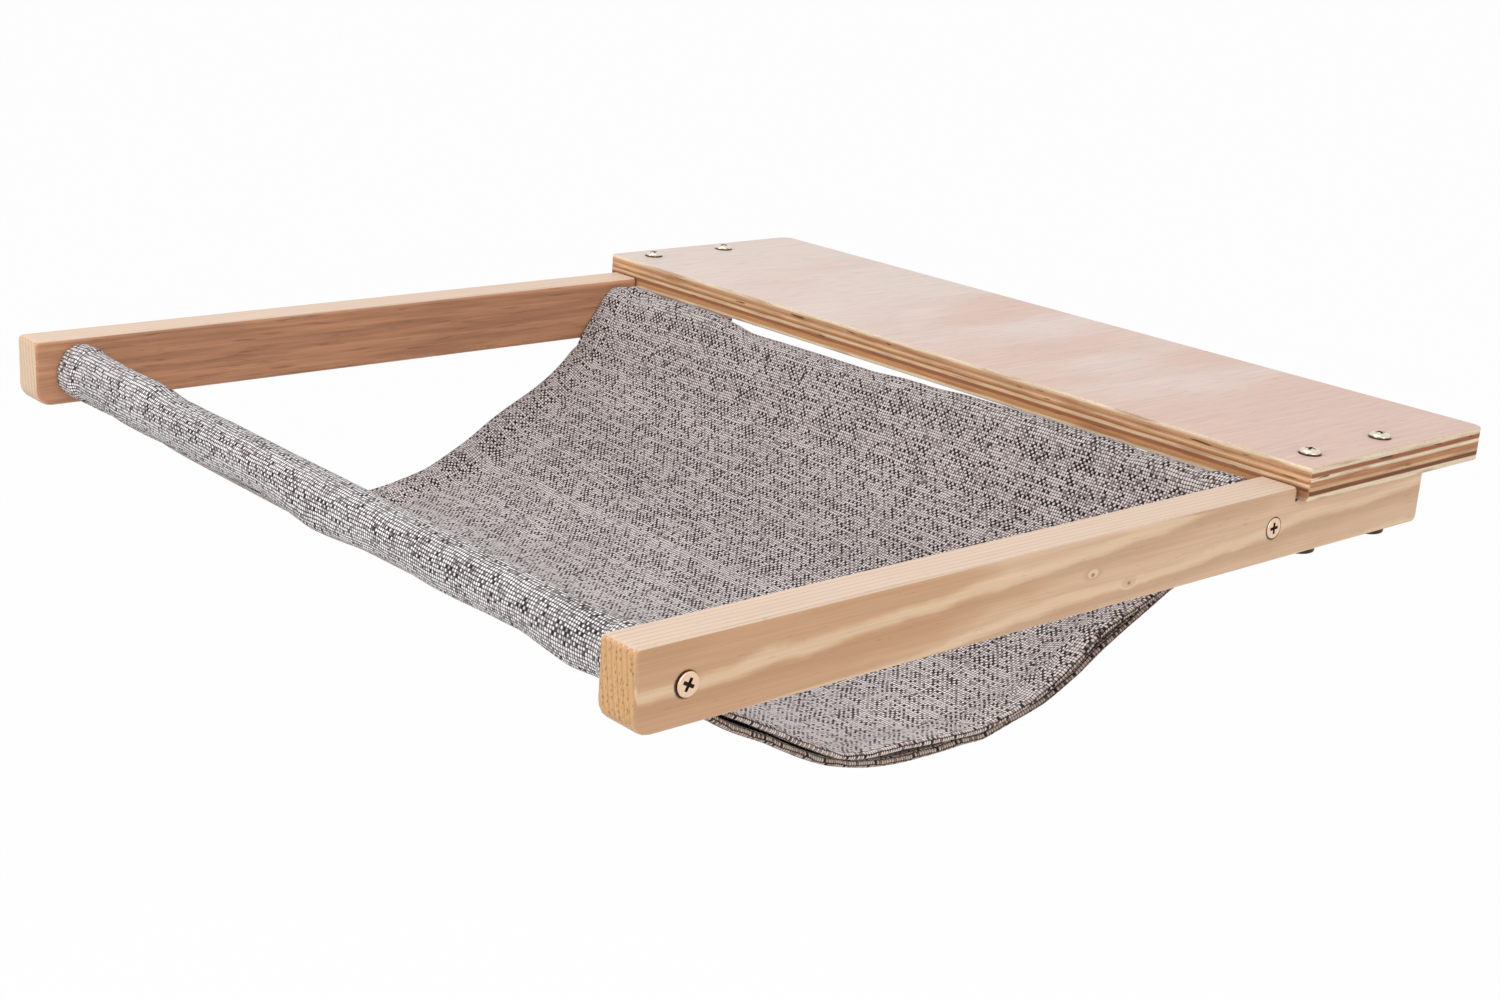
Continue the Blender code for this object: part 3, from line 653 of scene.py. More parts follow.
def cloth_material(name, cloth, layer_shade_tint, fold_shade_tint, fold_reach):
    """Mottled grey plain weave that follows the cloth's flat map; painted shade makes it darker and browner on
    folded edges and darker on the sling's rear slope, and painted warm light warms the inside.
    """
    material, tree = new_material(name)
    flat_map = put(tree, "ShaderNodeUVMap", uv_map="thread_map")
    y = parted(object_place(tree))[1]
    inside = between(y, FRONT_ROD_Y + 0.008, FRONT_ROD_Y + 0.030)
    half = RAIL_INNER_X - cloth.end_gap
    off_middle = reckon("ABSOLUTE", parted(flat_map)[0] - (MAP_MARGIN + half))
    check = inside * between(off_middle, half - 0.0010, half + 0.0004, 1.0, 0.6)
    weave = use_group(tree, "plain_weave", Place=flat_map, Pitch=cloth.yarn_pitch, Check=check,
                      Dark=tuple(cloth.dark_yarn), Middle=tuple(cloth.middle_yarn),
                      Light=tuple(cloth.light_yarn))
    # Painted shade: layer_shade_tint darkens a whole layer; the upper cloth's is white, and the lining's is
    # darker and browner.
    colour = tinted(weave["Colour"], layer_shade_tint)
    # Painted warm bounce light: the sling's inside is a little warmer than its front pocket.
    colour = tinted(colour, mixed(inside, (0.99, 1.0, 1.01), (0.985, 0.965, 0.965)))
    # Painted shade on the sling's rear slope, under the shelf.
    colour = tinted(colour, (0.71, 0.675, 0.67), between(y, -0.42, -0.24))
    # Painted shade on the folded hems, darker and browner.
    colour = tinted(colour, fold_shade_tint, between(off_middle, half - fold_reach, half + 0.0004))
    broad = between(cloudy(flat_map, 16.0, 3.0, 0.55), 0.34, 0.66, 0.94, 1.05, smooth=False)
    return finished(material, {
        "Base Color": tinted(colour, joined(broad, broad, broad)),
        "Roughness": 0.92,
        "Specular IOR Level": 0.15,
        "Sheen Weight": 0.12,
        "Sheen Roughness": 0.5,
        "Normal": bump(weave["Height"], 0.0007, 0.8),
    })


def shown_white(tree, out_kind, lit, white_kind, share):
    """Shows plain white to the camera and in reflections, in place of what lights the scene."""
    rays = tree.nodes.new("ShaderNodeLightPath").outputs
    kinds = ("Camera", "Glossy", "Transmission")
    camera, glossy, clear = (Flow(tree, rays[f"Is {kind} Ray"]) for kind in kinds)
    seen = reckon("MAXIMUM", reckon("MAXIMUM", camera, glossy), clear)
    white = put(tree, white_kind, {"Color": (1.0, 1.0, 1.0), "Strength": 1.0})
    surface = put(tree, "ShaderNodeMixShader", {0: seen * share, 1: lit, 2: white})
    feed_all(tree.nodes.new(out_kind), {"Surface": surface})


# Modelling helpers


def deselect():
    """Leaves edit mode with nothing selected."""
    if bpy.context.object and bpy.context.object.mode != "OBJECT":
        bpy.ops.object.mode_set(mode="OBJECT")
    bpy.ops.object.select_all(action="DESELECT")


def take(obj):
    """Makes an object the only one selected, and the active one."""
    deselect()
    obj.select_set(True)
    bpy.context.view_layer.objects.active = obj
    return obj


def started(name):
    """Names the primitive that was just added."""
    obj = bpy.context.object
    obj.name = name
    obj.data.name = name
    return obj


def settle(obj):
    """Puts an object's place, turn and size into its mesh."""
    take(obj)
    bpy.ops.object.transform_apply(location=True, rotation=True, scale=True)
    return obj


def apply_all(obj):
    """Applies every modifier in order."""
    take(obj)
    for modifier in list(obj.modifiers):
        bpy.ops.object.modifier_apply(modifier=modifier.name)
    return obj


def lathe(name, profile, segments):
    """Extrudes and resizes a disc down a profile of (radius, height), as a turner would shape it."""
    deselect()
    radius, height = profile[0]
    bpy.ops.mesh.primitive_circle_add(vertices=segments, radius=radius, fill_type="NGON",
                                      location=(0, 0, height))
    obj = settle(started(name))
    bpy.ops.object.mode_set(mode="EDIT")
    bpy.ops.mesh.select_all(action="SELECT")
    for next_radius, next_height in profile[1:]:
        bpy.ops.mesh.extrude_region_move(TRANSFORM_OT_translate={"value": (0, 0, next_height - height)})
        if abs(next_radius - radius) > 1e-9:
            size = next_radius / radius
            bpy.ops.transform.resize(value=(size, size, 1), center_override=(0, 0, next_height))
        radius, height = next_radius, next_height
    bpy.ops.mesh.select_all(action="SELECT")
    bpy.ops.mesh.normals_make_consistent(inside=False)
    bpy.ops.object.mode_set(mode="OBJECT")
    return obj


def cross_cutter(name, fixings, top):
    """The tapered cross that is cut from a head."""
    span, slot, depth = fixings.recess_span, fixings.recess_slot, fixings.recess_depth
    arms = []
    for turn in (0, 1):
        deselect()
        bpy.ops.mesh.primitive_cube_add(size=1, location=(0, 0, top))
        arm = started(f"{name}_{turn}")
        arm.scale = (span, slot, 2 * depth) if not turn else (slot, span, 2 * depth)
        settle(arm)
        bpy.ops.object.mode_set(mode="EDIT")
        bpy.ops.mesh.select_all(action="DESELECT")
        bpy.ops.object.mode_set(mode="OBJECT")
        for vert in arm.data.vertices:
            vert.select = vert.co.z < top
        bpy.ops.object.mode_set(mode="EDIT")
        bpy.ops.transform.resize(value=(0.42, 0.8, 1) if not turn else (0.8, 0.42, 1),
                                 center_override=(0, 0, top - depth))
        bpy.ops.object.mode_set(mode="OBJECT")
        arms.append(arm)
    return arms


def cut(obj, cutters):
    """Takes the cutters out of an object and removes them."""
    for cutter in cutters:
        modifier = obj.modifiers.new("cut", "BOOLEAN")
        modifier.operation = "DIFFERENCE"
        modifier.solver = "EXACT"
        modifier.object = cutter
    apply_all(obj)
    for cutter in cutters:
        bpy.data.objects.remove(cutter, do_unlink=True)
    return obj


def recess_shade_faces(obj, fixings, top):
    """Gives the faces inside the cross recess the second material, which is painted shade."""
    take(obj)
    bpy.ops.object.material_slot_add()
    bpy.ops.object.material_slot_add()
    for face in obj.data.polygons:
        near = math.hypot(face.center.x, face.center.y) < fixings.recess_span * 0.55
        sunk = face.center.z > top - fixings.recess_depth * 1.1
        sunk = sunk and (abs(face.normal.z) < 0.85 or face.center.z < top - fixings.recess_depth * 0.6)
        face.material_index = 1 if near and sunk else 0
    return obj


def eased(obj, width, angle=math.radians(28)):
    """Rounds an object's hard edges and shades it smooth."""
    bevel = obj.modifiers.new("eased", "BEVEL")
    bevel.width = width
    bevel.segments = 2
    bevel.limit_method = "ANGLE"
    bevel.angle_limit = angle
    apply_all(obj)
    bpy.ops.object.shade_smooth_by_angle(angle=math.radians(35))
    return obj


def four_places(kind, stand_of, turns):
    """Where each of four alike fixings goes: its stand, from its node's box, and its own turn in degrees."""
    places = {}
    for end in ENDS:
        for label, side in SIDES:
            node = f"{kind}_{end}_{label}"
            spin = Matrix.Rotation(math.radians(turns.get(f"{end}_{label}", 0)), 4, "Z")
            places[node] = stand_of(node, side) @ spin
    return places


def copies(pattern, places, slot, *materials):
    """Sets a copy of a pattern at each place, in its mesh, in place of the CAD node of that name."""
    for node, matrix in places.items():
        piece = pattern.copy()
        piece.data = pattern.data.copy()
        piece.data.transform(matrix)
        piece.name = "fine_" + node
        piece.data.name = piece.name
        bpy.context.scene.collection.objects.link(piece)
        while len(piece.data.materials) < len(materials):
            piece.data.materials.append(None)
        for place, material in enumerate(materials):
            piece.data.materials[place] = material
        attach(piece, ROOT)
        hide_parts(node)
    bpy.data.objects.remove(pattern, do_unlink=True)


# The sling's shape

LEFT_SKEW, RIGHT_SKEW = -0.22, 0.04
LEFT_FOLDS = ((0.12, -0.6), (0.47, 1.0), (0.75, -0.8))
RIGHT_FOLDS = ((0.15, 0.8), (0.57, 1.0), (0.78, -1.0))
FOLD_WIDTH = 0.11
FOLD_DEPTH = 0.003
FRONT_RISE, FRONT_RISE_PLACE, FRONT_RISE_WIDTH = 0.014, 0.22, 0.20
EDGE_INSET = 0.002
EDGE_DRAW = 0.012
SEAT_GAP = 0.0003
STITCH_PULL = 0.0011
# Millimetres at places along the rods, from the left end: how far the pockets stand up over their rods
POCKET_CROWNS = {
    "front": ((0, 2), (0.05, 3), (0.10, 2.5), (0.15, 3), (0.19, 2.5), (0.22, 0), (1, 0)),
    "rear": ((0, 1), (0.06, 4), (0.14, 6), (0.20, 5.5), (0.23, 3), (0.26, 0), (0.42, 1), (0.48, 1),
             (0.53, 3), (0.58, 3), (0.63, 5), (0.74, 6), (0.85, 6.5), (0.91, 6), (1, 6.5)),
}
# and how far they belly out below them
POCKET_BELLIES = {
    "front": ((0, 1), (0.08, 1), (0.13, 2.5), (0.18, 0.5), (0.26, 1), (0.33, 1), (0.38, 0), (0.43, 0),
              (0.52, 4.5), (0.58, 2), (0.64, 0), (0.72, 1.5), (0.80, 0.5), (0.85, 0), (0.92, 3.5), (1, 0.5)),
    "rear": ((0, 2), (0.15, 3.5), (0.3, 5.5), (0.45, 3), (0.6, 4.5), (0.8, 3), (1, 2)),
}
# Small folds in the pockets: place and half width along the rod, middle angle, height, and half angle
PUCKERS = {
    "front": ((0.13, 0.035, 50, -0.0014, 40), (0.90, 0.03, 60, -0.0010, 45)),
    "rear": ((0.045, 0.050, 108, 0.0030, 32), (0.055, 0.055, 72, -0.0040, 20),
             (0.87, 0.022, 80, -0.0022, 45)),
}
BELLY_ANGLE, BELLY_SPREAD = math.radians(-122), math.radians(80)
CROWN_ANGLE, CROWN_SPREAD = math.radians(90), math.radians(70)
# Millimetres at shares of the sling's run from front to rear: lift of the hems, drop of the lower layer's hem
LEFT_HEM_LIFTS = ((0, 0), (0.10, 2.5), (0.20, 6), (0.28, 6), (0.37, 1), (0.46, -4), (0.53, -4.5), (0.60, -3),
                  (0.67, 0), (0.75, 1), (0.85, 0.5), (1, 0))
RIGHT_HEM_LIFTS = ((0, 0), (0.10, 3.5), (0.17, 4.5), (0.24, 3.5), (0.305, 1), (0.345, 1.5), (0.43, 5.5),
                   (0.48, 5), (0.53, 3.5), (0.575, 1), (0.67, 1), (0.72, 2.5), (0.77, 5), (0.805, 9),
                   (0.835, 9), (0.87, 7), (0.92, 3.5), (1, 0))
LINING_DROPS = ((0, 1.5), (0.05, 1.5), (0.10, 0.5), (0.17, -1.5), (0.24, -0.5), (0.29, 0.5), (0.36, 0),
                (0.46, -1.5), (0.54, -1.5), (0.58, 0.5), (0.64, 0), (0.70, 1), (0.76, -1), (0.82, -3.5),
                (0.88, -3), (0.95, -2), (1, 0))
HEM_REACH = 0.042
STRAIGHT_ROWS, ARC_ROWS, SLING_ROWS = 9, 22, 104
SEAM_ROW = STRAIGHT_ROWS * 2 + ARC_ROWS
LINE_STEPS = 240
COLUMN_STEP = 0.0042
HANG_FRAMES = 18
HANG_LIMIT = 0.0020
PINNED_ROWS, EASED_ROWS = 4, 16
HEM_STEPS = (0.0, 0.0012, 0.003, 0.006, 0.010, 0.0135, 0.0155, 0.0175, 0.020)


def lobe(offset, half_width):
    """1 at offset 0, falling smoothly to 0 at the half width."""
    return math.cos(math.pi / 2 * offset / half_width) ** 2 if abs(offset) < half_width else 0.0


def smooth(value, low, high):
    """0 below low, 1 above high, and a smooth step between."""
    share = min(1.0, max(0.0, (value - low) / (high - low)))
    return share * share * (3 - 2 * share)


def hang_share(along, skew):
    """Share of the sling's depth at a share of its run."""
    skewed = along - skew * along * (1 - along)
    return 4 * skewed * (1 - skewed)


def hang_line(across, cloth):
    """Many points of one strip of the sling from rod to rod, as drawn before it is left to hang."""
    right = (1 + across) / 2
    sag = cloth.left_sag + (cloth.right_sag - cloth.left_sag) * right
    skew = LEFT_SKEW + (RIGHT_SKEW - LEFT_SKEW) * right
    reach = ROD_RADIUS + SEAT_GAP * 2 + cloth.thickness
    sag += cloth.middle_sag * (1 - across**2)
    front_angle = rear_angle = math.pi / 4
    for _ in range(8):
        front = (FRONT_ROD_Y + reach * math.cos(front_angle), ROD_Z - reach * math.sin(front_angle))
        rear = (REAR_ROD_Y - reach * math.cos(rear_angle), ROD_Z - reach * math.sin(rear_angle))
        depth = (front[1] + rear[1]) / 2 - (ROD_Z - sag)
        span = rear[0] - front[0]
        tilt = (rear[1] - front[1]) / span
        front_angle = math.atan(4 * (1 - skew) * depth / span - tilt)
        rear_angle = math.atan(4 * (1 + skew) * depth / span + tilt)
    folds = RIGHT_FOLDS if across > 0 else LEFT_FOLDS
    half_length = RAIL_INNER_X - cloth.end_gap
    points = []
    for step in range(LINE_STEPS + 1):
        along = step / LINE_STEPS
        hang = hang_share(along, skew)
        half = half_length - (EDGE_INSET + EDGE_DRAW * hang) * smooth(hang, 0.0, 0.35)
        fold = sum(height * lobe(along - place, FOLD_WIDTH) for place, height in folds)
        from_left, from_right = (1 + across) * half, (1 - across) * half
        lip = cloth.left_lip * smooth(from_left, 0.004, 0.030) * (1 - right)
        lip += cloth.right_lip * smooth(from_right, 0.004, 0.030) * right
        drop = depth * hang + FOLD_DEPTH * fold * across**2 + lip * hang**0.5
        drop -= FRONT_RISE * (1 - right) * lobe(along - FRONT_RISE_PLACE, FRONT_RISE_WIDTH)
        y = front[0] + span * along
        z = front[1] + (rear[1] - front[1]) * along - drop
        points.append((across * half, y, z))
    return np.array(points)


def evenly(points, count):
    """Points along a line, set out again at even steps."""
    steps = np.linalg.norm(np.diff(points, axis=0), axis=1)
    run = np.concatenate([[0.0], np.cumsum(steps)])
    wanted = np.linspace(0, run[-1], count)
    return np.stack([np.interp(wanted, run, points[:, axis]) for axis in range(points.shape[1])], axis=1)


def at_place(table, place):
    """A table's value in metres at a place."""
    return float(np.interp(place, [row[0] for row in table], [row[1] for row in table])) / 1000


def pocket_line(end, seam, across, cloth):
    """The pocket's cloth from its lower seam round the rod to its upper seam, in (y, z)."""
    inward = 1 if end == "front" else -1
    centre = np.array((FRONT_ROD_Y if end == "front" else REAR_ROD_Y, ROD_Z))
    towards = np.array((inward * (seam[0] - centre[0]), seam[1] - centre[1]))
    distance = np.hypot(*towards)
    radius = ROD_RADIUS + SEAT_GAP + cloth.thickness / 2
    pull = math.atan2(towards[1], towards[0])
    spread = math.acos(radius / distance)
    share = (1 + across) / 2
    crown, belly = at_place(POCKET_CROWNS[end], share), at_place(POCKET_BELLIES[end], share)
    belly_way = np.array((inward * math.cos(BELLY_ANGLE), math.sin(BELLY_ANGLE)))
    ring = []
    for step in range(ARC_ROWS + 1):
        angle = pull - spread + math.tau + (2 * spread - math.tau) * step / ARC_ROWS
        wrinkle = noise.noise(Vector((share * 14, angle * 1.3, 3.0 if end == "front" else 8.0)))
        out = radius + 0.0007 * max(0.0, wrinkle)
        out += crown * lobe(math.remainder(angle - CROWN_ANGLE, math.tau), CROWN_SPREAD)
        for place, width, degrees, height, span in PUCKERS[end]:
            turned = math.remainder(angle - math.radians(degrees), math.tau)
            out += lobe(share - place, width) * height * lobe(turned, math.radians(span))
        turned = math.remainder(angle - BELLY_ANGLE, math.tau)
        low = 1.0 if turned > 0 and turned < math.pi / 2 else lobe(turned, BELLY_SPREAD)
        way = np.array((inward * math.cos(angle), math.sin(angle)))
        ring.append(centre + out * way + belly * low * belly_way)
    square = np.array((-towards[1] * inward, towards[0])) / distance
    if square[1] < 0:
        square = -square
    over = np.array(seam)
    under = over - square * (cloth.thickness + SEAT_GAP)
    lower = [under + (ring[0] - under) * step / STRAIGHT_ROWS for step in range(STRAIGHT_ROWS)]
    slack = [belly * 0.35 * math.sin(math.pi * step / STRAIGHT_ROWS) for step in range(STRAIGHT_ROWS)]
    lower = [point - square * inset for point, inset in zip(lower, slack)]
    upper = [ring[-1] + (over - ring[-1]) * step / STRAIGHT_ROWS for step in range(1, STRAIGHT_ROWS + 1)]
    return np.array(lower + ring + upper)


def drawn_strip(across, cloth):
    """One whole strip of the upper cloth: front pocket, sling and rear pocket, as (x, y, z) rows."""
    line = hang_line(across, cloth)
    cuts = []
    for end, rod_y in (("front", FRONT_ROD_Y), ("rear", REAR_ROD_Y)):
        away = np.hypot(line[:, 1] - rod_y, line[:, 2] - ROD_Z)
        order = away if end == "front" else away[::-1]
        index = int(np.argmax(order > cloth.pocket_reach))
        cuts.append(index if end == "front" else len(line) - 1 - index)
    sling = evenly(line[cuts[0]:cuts[1] + 1], SLING_ROWS + 1)
    front = pocket_line("front", sling[0, 1:], across, cloth)
    rear = pocket_line("rear", sling[-1, 1:], across, cloth)[::-1]
    held_x = across * (RAIL_INNER_X - cloth.end_gap)
    seam_shares = [max(0, STRAIGHT_ROWS - row, row - STRAIGHT_ROWS - ARC_ROWS) / STRAIGHT_ROWS
                   for row in range(len(front))]
    seam_shares = np.array([smooth(share, 0.2, 1.0) for share in seam_shares])
    front = np.column_stack([held_x + (sling[0, 0] - held_x) * seam_shares, front])
    rear = np.column_stack([held_x + (sling[-1, 0] - held_x) * seam_shares[::-1], rear])
    return np.vstack([front[:-1], sling, rear[1:]])


def across_shares(cloth):
    """Places across the cloth, from -1 at the left edge to 1 at the right one, closer at the hems."""
    half = RAIL_INNER_X - cloth.end_gap
    left = [step / half - 1 for step in HEM_STEPS]
    count = int((2 * half - 2 * HEM_STEPS[-1]) / COLUMN_STEP)
    middle = list(np.linspace(left[-1], -left[-1], count + 1)[1:-1])
    return left + middle + [-share for share in reversed(left)]


def grid_normals(points):
    """Unit normals of a grid of points, on the side that shows."""
    along = np.gradient(points, axis=0)
    across = np.gradient(points, axis=1)
    normals = np.cross(across, along)
    return normals / np.linalg.norm(normals, axis=2, keepdims=True)


def grid_object(name, points, flat):
    """A grid primitive whose points are moved to a sheet's place, with its flat map in metres."""
    rows, columns = points.shape[:2]
    deselect()
    bpy.ops.mesh.primitive_grid_add(x_subdivisions=columns - 1, y_subdivisions=rows - 1, size=1)
    obj = started(name)
    mesh = obj.data
    if len(mesh.vertices) != rows * columns:
        raise RuntimeError("the grid has another number of points than the sheet")
    mesh.vertices.foreach_set("co", points.astype(np.float32).ravel())
    corners = np.zeros(len(mesh.loops), dtype=np.int32)
    mesh.loops.foreach_get("vertex_index", corners)
    layer = mesh.uv_layers.active
    layer.name = "thread_map"
    layer.data.foreach_set("uv", flat.reshape(-1, 2)[corners].astype(np.float32).ravel())
    mesh.update()
    return obj


def hang(points, cloth):
    """Lets the drawn sling hang between its pinned pockets, and gives its settled points."""
    rows, columns = points.shape[:2]
    obj = grid_object("hanging_cloth", points, np.zeros((rows, columns, 2)))
    held = obj.vertex_groups.new(name="held")
    inside = [min(row - SEAM_ROW, rows - 1 - SEAM_ROW - row) for row in range(rows)]
    for row in range(rows):
        weight = min(1.0, max(0.0, 1.0 - inside[row] / PINNED_ROWS))
        if weight:
            held.add(list(range(row * columns, (row + 1) * columns)), weight, "REPLACE")
    take(obj)
    modifier = obj.modifiers.new("hang", "CLOTH")
    settings = modifier.settings
    settings.quality = 6
    settings.mass = 0.35
    settings.tension_stiffness = settings.compression_stiffness = 18
    settings.shear_stiffness = 6
    settings.bending_stiffness = 0.35
    settings.air_damping = 2.0
    settings.vertex_group_mass = "held"
    modifier.collision_settings.use_collision = False
    modifier.collision_settings.use_self_collision = False
    modifier.point_cache.frame_start = 1
    modifier.point_cache.frame_end = HANG_FRAMES
    scene = bpy.context.scene
    for step in range(1, HANG_FRAMES + 1):
        scene.frame_set(step)
    bpy.ops.object.modifier_apply(modifier=modifier.name)
    hung = np.zeros(rows * columns * 3, dtype=np.float32)
    obj.data.vertices.foreach_get("co", hung)
    scene.frame_set(1)
    bpy.data.objects.remove(obj, do_unlink=True)
    moved = hung.reshape(points.shape).astype(float) - points
    free = np.array([smooth(place, 0, EASED_ROWS) for place in inside])[:, None, None]
    moved -= free * (moved * free).sum(axis=(0, 1)) / (free.sum() * columns)
    length = np.linalg.norm(moved, axis=2, keepdims=True)
    return points + moved * np.minimum(1.0, HANG_LIMIT / np.maximum(length, 1e-9))


def drawn_cloth(cloth):
    """The upper cloth's middle surface with its waves, as rows from front to rear and columns across."""
    shares = across_shares(cloth)
    points = np.stack([drawn_strip(share, cloth) for share in shares], axis=1)
    normals = grid_normals(points)
    rows = points.shape[0]
    for row in range(rows):
        inside = smooth(min(row - SEAM_ROW, rows - 1 - SEAM_ROW - row) / 14, 0, 1)
        if not inside:
            continue
        for column, share in enumerate(shares):
            along = (row - SEAM_ROW) / SLING_ROWS
            wave = noise.noise(Vector((share * 3.4, along * 4.2, 5.0)))
            wave += 0.45 * noise.noise(Vector((share * 9.0 + along * 3.0, along * 7.0, 11.0)))
            points[row, column] += normals[row, column] * cloth.ripple * 1.6 * wave * inside
    return points, shares


def from_edges(across, side):
    """How far each column lies from one side edge."""
    return [place - across[0] if side < 0 else across[-1] - place for place in across]


def edge_moved(points, across, side, table, sign=1):
    """The sheet with one side edge raised, or lowered, as a table along the sling says."""
    reach = np.array([1 - smooth(away, 0, HEM_REACH) for away in from_edges(across, side)])
    shares = [min(1, max(0, (row - SEAM_ROW) / SLING_ROWS)) for row in range(points.shape[0])]
    lifts = np.array([sign * at_place(table, share) for share in shares])
    lifts = np.convolve(np.pad(lifts, 1, mode="edge"), (0.15, 0.70, 0.15), mode="valid")
    moved = points.copy()
    moved[:, :, 2] += lifts[:, None] * reach[None, :]
    return moved


def flat_places(points, shares, cloth):
    """Each point's place on the flat cut: across it and along it, in metres."""
    half = RAIL_INNER_X - cloth.end_gap
    steps = np.linalg.norm(np.diff(points, axis=0), axis=2).mean(axis=1)
    along = np.concatenate([[0.0], np.cumsum(steps)])
    across = np.array([half * (1 + share) for share in shares])
    return across, along


def hemmed_sheet(name, points, normals, across, along, cloth, raised):
    """A sheet whose side edges are folded back under it, given its cloth's thickness."""
    fold = cloth.thickness * (0.65 if raised else 0.85)
    hem = [index for index, step in enumerate(HEM_STEPS) if step <= cloth.hem_width]
    lift = np.array([1 - smooth(min(place - across[0], across[-1] - place), cloth.hem_width - 0.001,
                                cloth.hem_width + 0.0035) for place in across])
    top = raised * 2 * fold
    shown = points + normals * (top * lift)[None, :, None]
    columns, flats = [], []
    for side in (0, 1):
        order = hem if side == 0 else [len(across) - 1 - index for index in hem]
        edge = order[0]
        inner = order[1]
        outward = points[:, edge] - points[:, inner]
        outward -= normals[:, edge] * (outward * normals[:, edge]).sum(axis=1, keepdims=True)
        outward /= np.linalg.norm(outward, axis=1, keepdims=True)
        sign = -1 if side == 0 else 1
        piece, flat = [], []
        for index in reversed(order):
            piece.append(points[:, index] + normals[:, index] * (top - 2 * fold))
            flat.append(across[edge] + sign * (abs(across[index] - across[edge]) + math.pi * fold))
        for part in (0.25, 0.5, 0.75):
            turn = math.pi * part
            piece.append(points[:, edge] + normals[:, edge] * (top - fold - fold * math.cos(turn))
                         + outward * fold * math.sin(turn))
            flat.append(across[edge] + sign * math.pi * fold * (1 - part))
        if side == 0:
            columns += piece + [shown[:, index] for index in range(len(across))]
            flats += flat + list(across)
        else:
            columns += piece[::-1]
            flats += flat[::-1]
    grid = np.stack(columns, axis=1)
    flat = np.zeros((*grid.shape[:2], 2))
    flat[:, :, 0] = np.array(flats)[None, :] + MAP_MARGIN
    flat[:, :, 1] = along[:, None] + MAP_MARGIN
    obj = grid_object(name, grid, flat)
    wall = obj.modifiers.new("thickness", "SOLIDIFY")
    wall.thickness = cloth.thickness
    wall.offset = 0
    wall.use_even_offset = False
    wall.use_rim = True
    apply_all(obj)
    bpy.ops.object.shade_smooth()
    size = (flats[-1] - flats[0], float(along[-1] - along[0]))
    return obj, size


def lower_layer(points, normals, across, cloth):
    """The lower layer's points under the upper one's, closer in the middle and gaping at the hems."""
    count = len(points)
    lower = points.copy()
    for row in range(count):
        inside = math.sin(math.pi * row / (count - 1)) ** 0.5
        for column, place in enumerate(across):
            right = place > across[-1] / 2
            from_edge = min(place - across[0], across[-1] - place)
            wave = noise.noise(Vector((place * 30, row * 0.11, 27.0 if right else 21.0)))
            part = lobe(from_edge, cloth.hem_width * 1.6) * inside * cloth.gape * (1.0 + 0.7 * wave)
            part *= 0.25 if right else smooth(row / count, 0.35, 0.55)
            lower[row, column] -= normals[row, column] * (cloth.thickness + SEAT_GAP * 2 + part)
    return lower


# Operators


class HAMMOCK_OT_shared_effects(bpy.types.Operator):
    """Builds the weave, pine grain and plating effects that the finishes share"""

    bl_idname = "hammock.shared_effects"
    bl_label = "Shared effects"

    def execute(self, context):
        make_weave_group()
        make_pine_group()
        make_head_shade_group()
        make_wear_group()
        return {"FINISHED"}


class HAMMOCK_OT_finish_rails(bpy.types.Operator):
    """Finishes the two side rails in planed pine"""

    bl_idname = "hammock.finish_rails"
    bl_label = "Side rails"

    def execute(self, context):
        timber = context.scene.hammock_timber
        near = {**pine_tones(timber), "end": tuple(timber.near_end), "pits": 0.9}
        far = {**pine_tones(timber), "end": tuple(timber.far_end), "pits": 0.15,
               "brown": tuple(timber.far_red)}
        # The painted shade rings round the rod screws sit a little to the front of each head, as a crescent of
        # shadow.
        heads = [(0.0, rod_y - 0.0006, ROD_Z) for rod_y in (FRONT_ROD_Y, REAR_ROD_Y)]
        right = pine_material("right_rail_pine", near, 1,
                              {"Spacing": 0.0034, "Slope": 0.125, "Climb": 0.055, "Sway": 0.0017, "Seed": 2.0},
                              heads, ((-0.3331, -0.0217, 0.0016), (-0.3044, -0.0311, 0.0013)))
        left = pine_material("left_rail_pine", far, -1,
                             {"Spacing": 0.0040, "Slope": 0.12, "Climb": -0.03, "Sway": 0.0020, "Seed": 7.0},
                             heads)
        dress(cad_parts["right_side_rail"], right)
        dress(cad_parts["left_side_rail"], left)
        return {"FINISHED"}


class HAMMOCK_OT_finish_shelf(bpy.types.Operator):
    """Finishes the shelf in plywood"""

    bl_idname = "hammock.finish_shelf"
    bl_label = "Shelf"

    def execute(self, context):
        dress(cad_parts["shelf_board"], plywood_material(context.scene.hammock_timber))
        return {"FINISHED"}


class HAMMOCK_OT_finish_rods(bpy.types.Operator):
    """Finishes the two round rods"""

    bl_idname = "hammock.finish_rods"
    bl_label = "Rods"

    def execute(self, context):
        timber = context.scene.hammock_timber
        tones = {**pine_tones(timber), "top": tuple(timber.pale), "end": tuple(timber.far_end), "pits": 0.3}
        wood = pine_material("rod_wood", tones, 1,
                             {"Spacing": 0.0035, "Slope": 0.4, "Climb": 0.0, "Sway": 0.002, "Seed": 13.0})
        for end in ENDS:
            dress(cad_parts[f"{end}_rod"], wood)
        return {"FINISHED"}


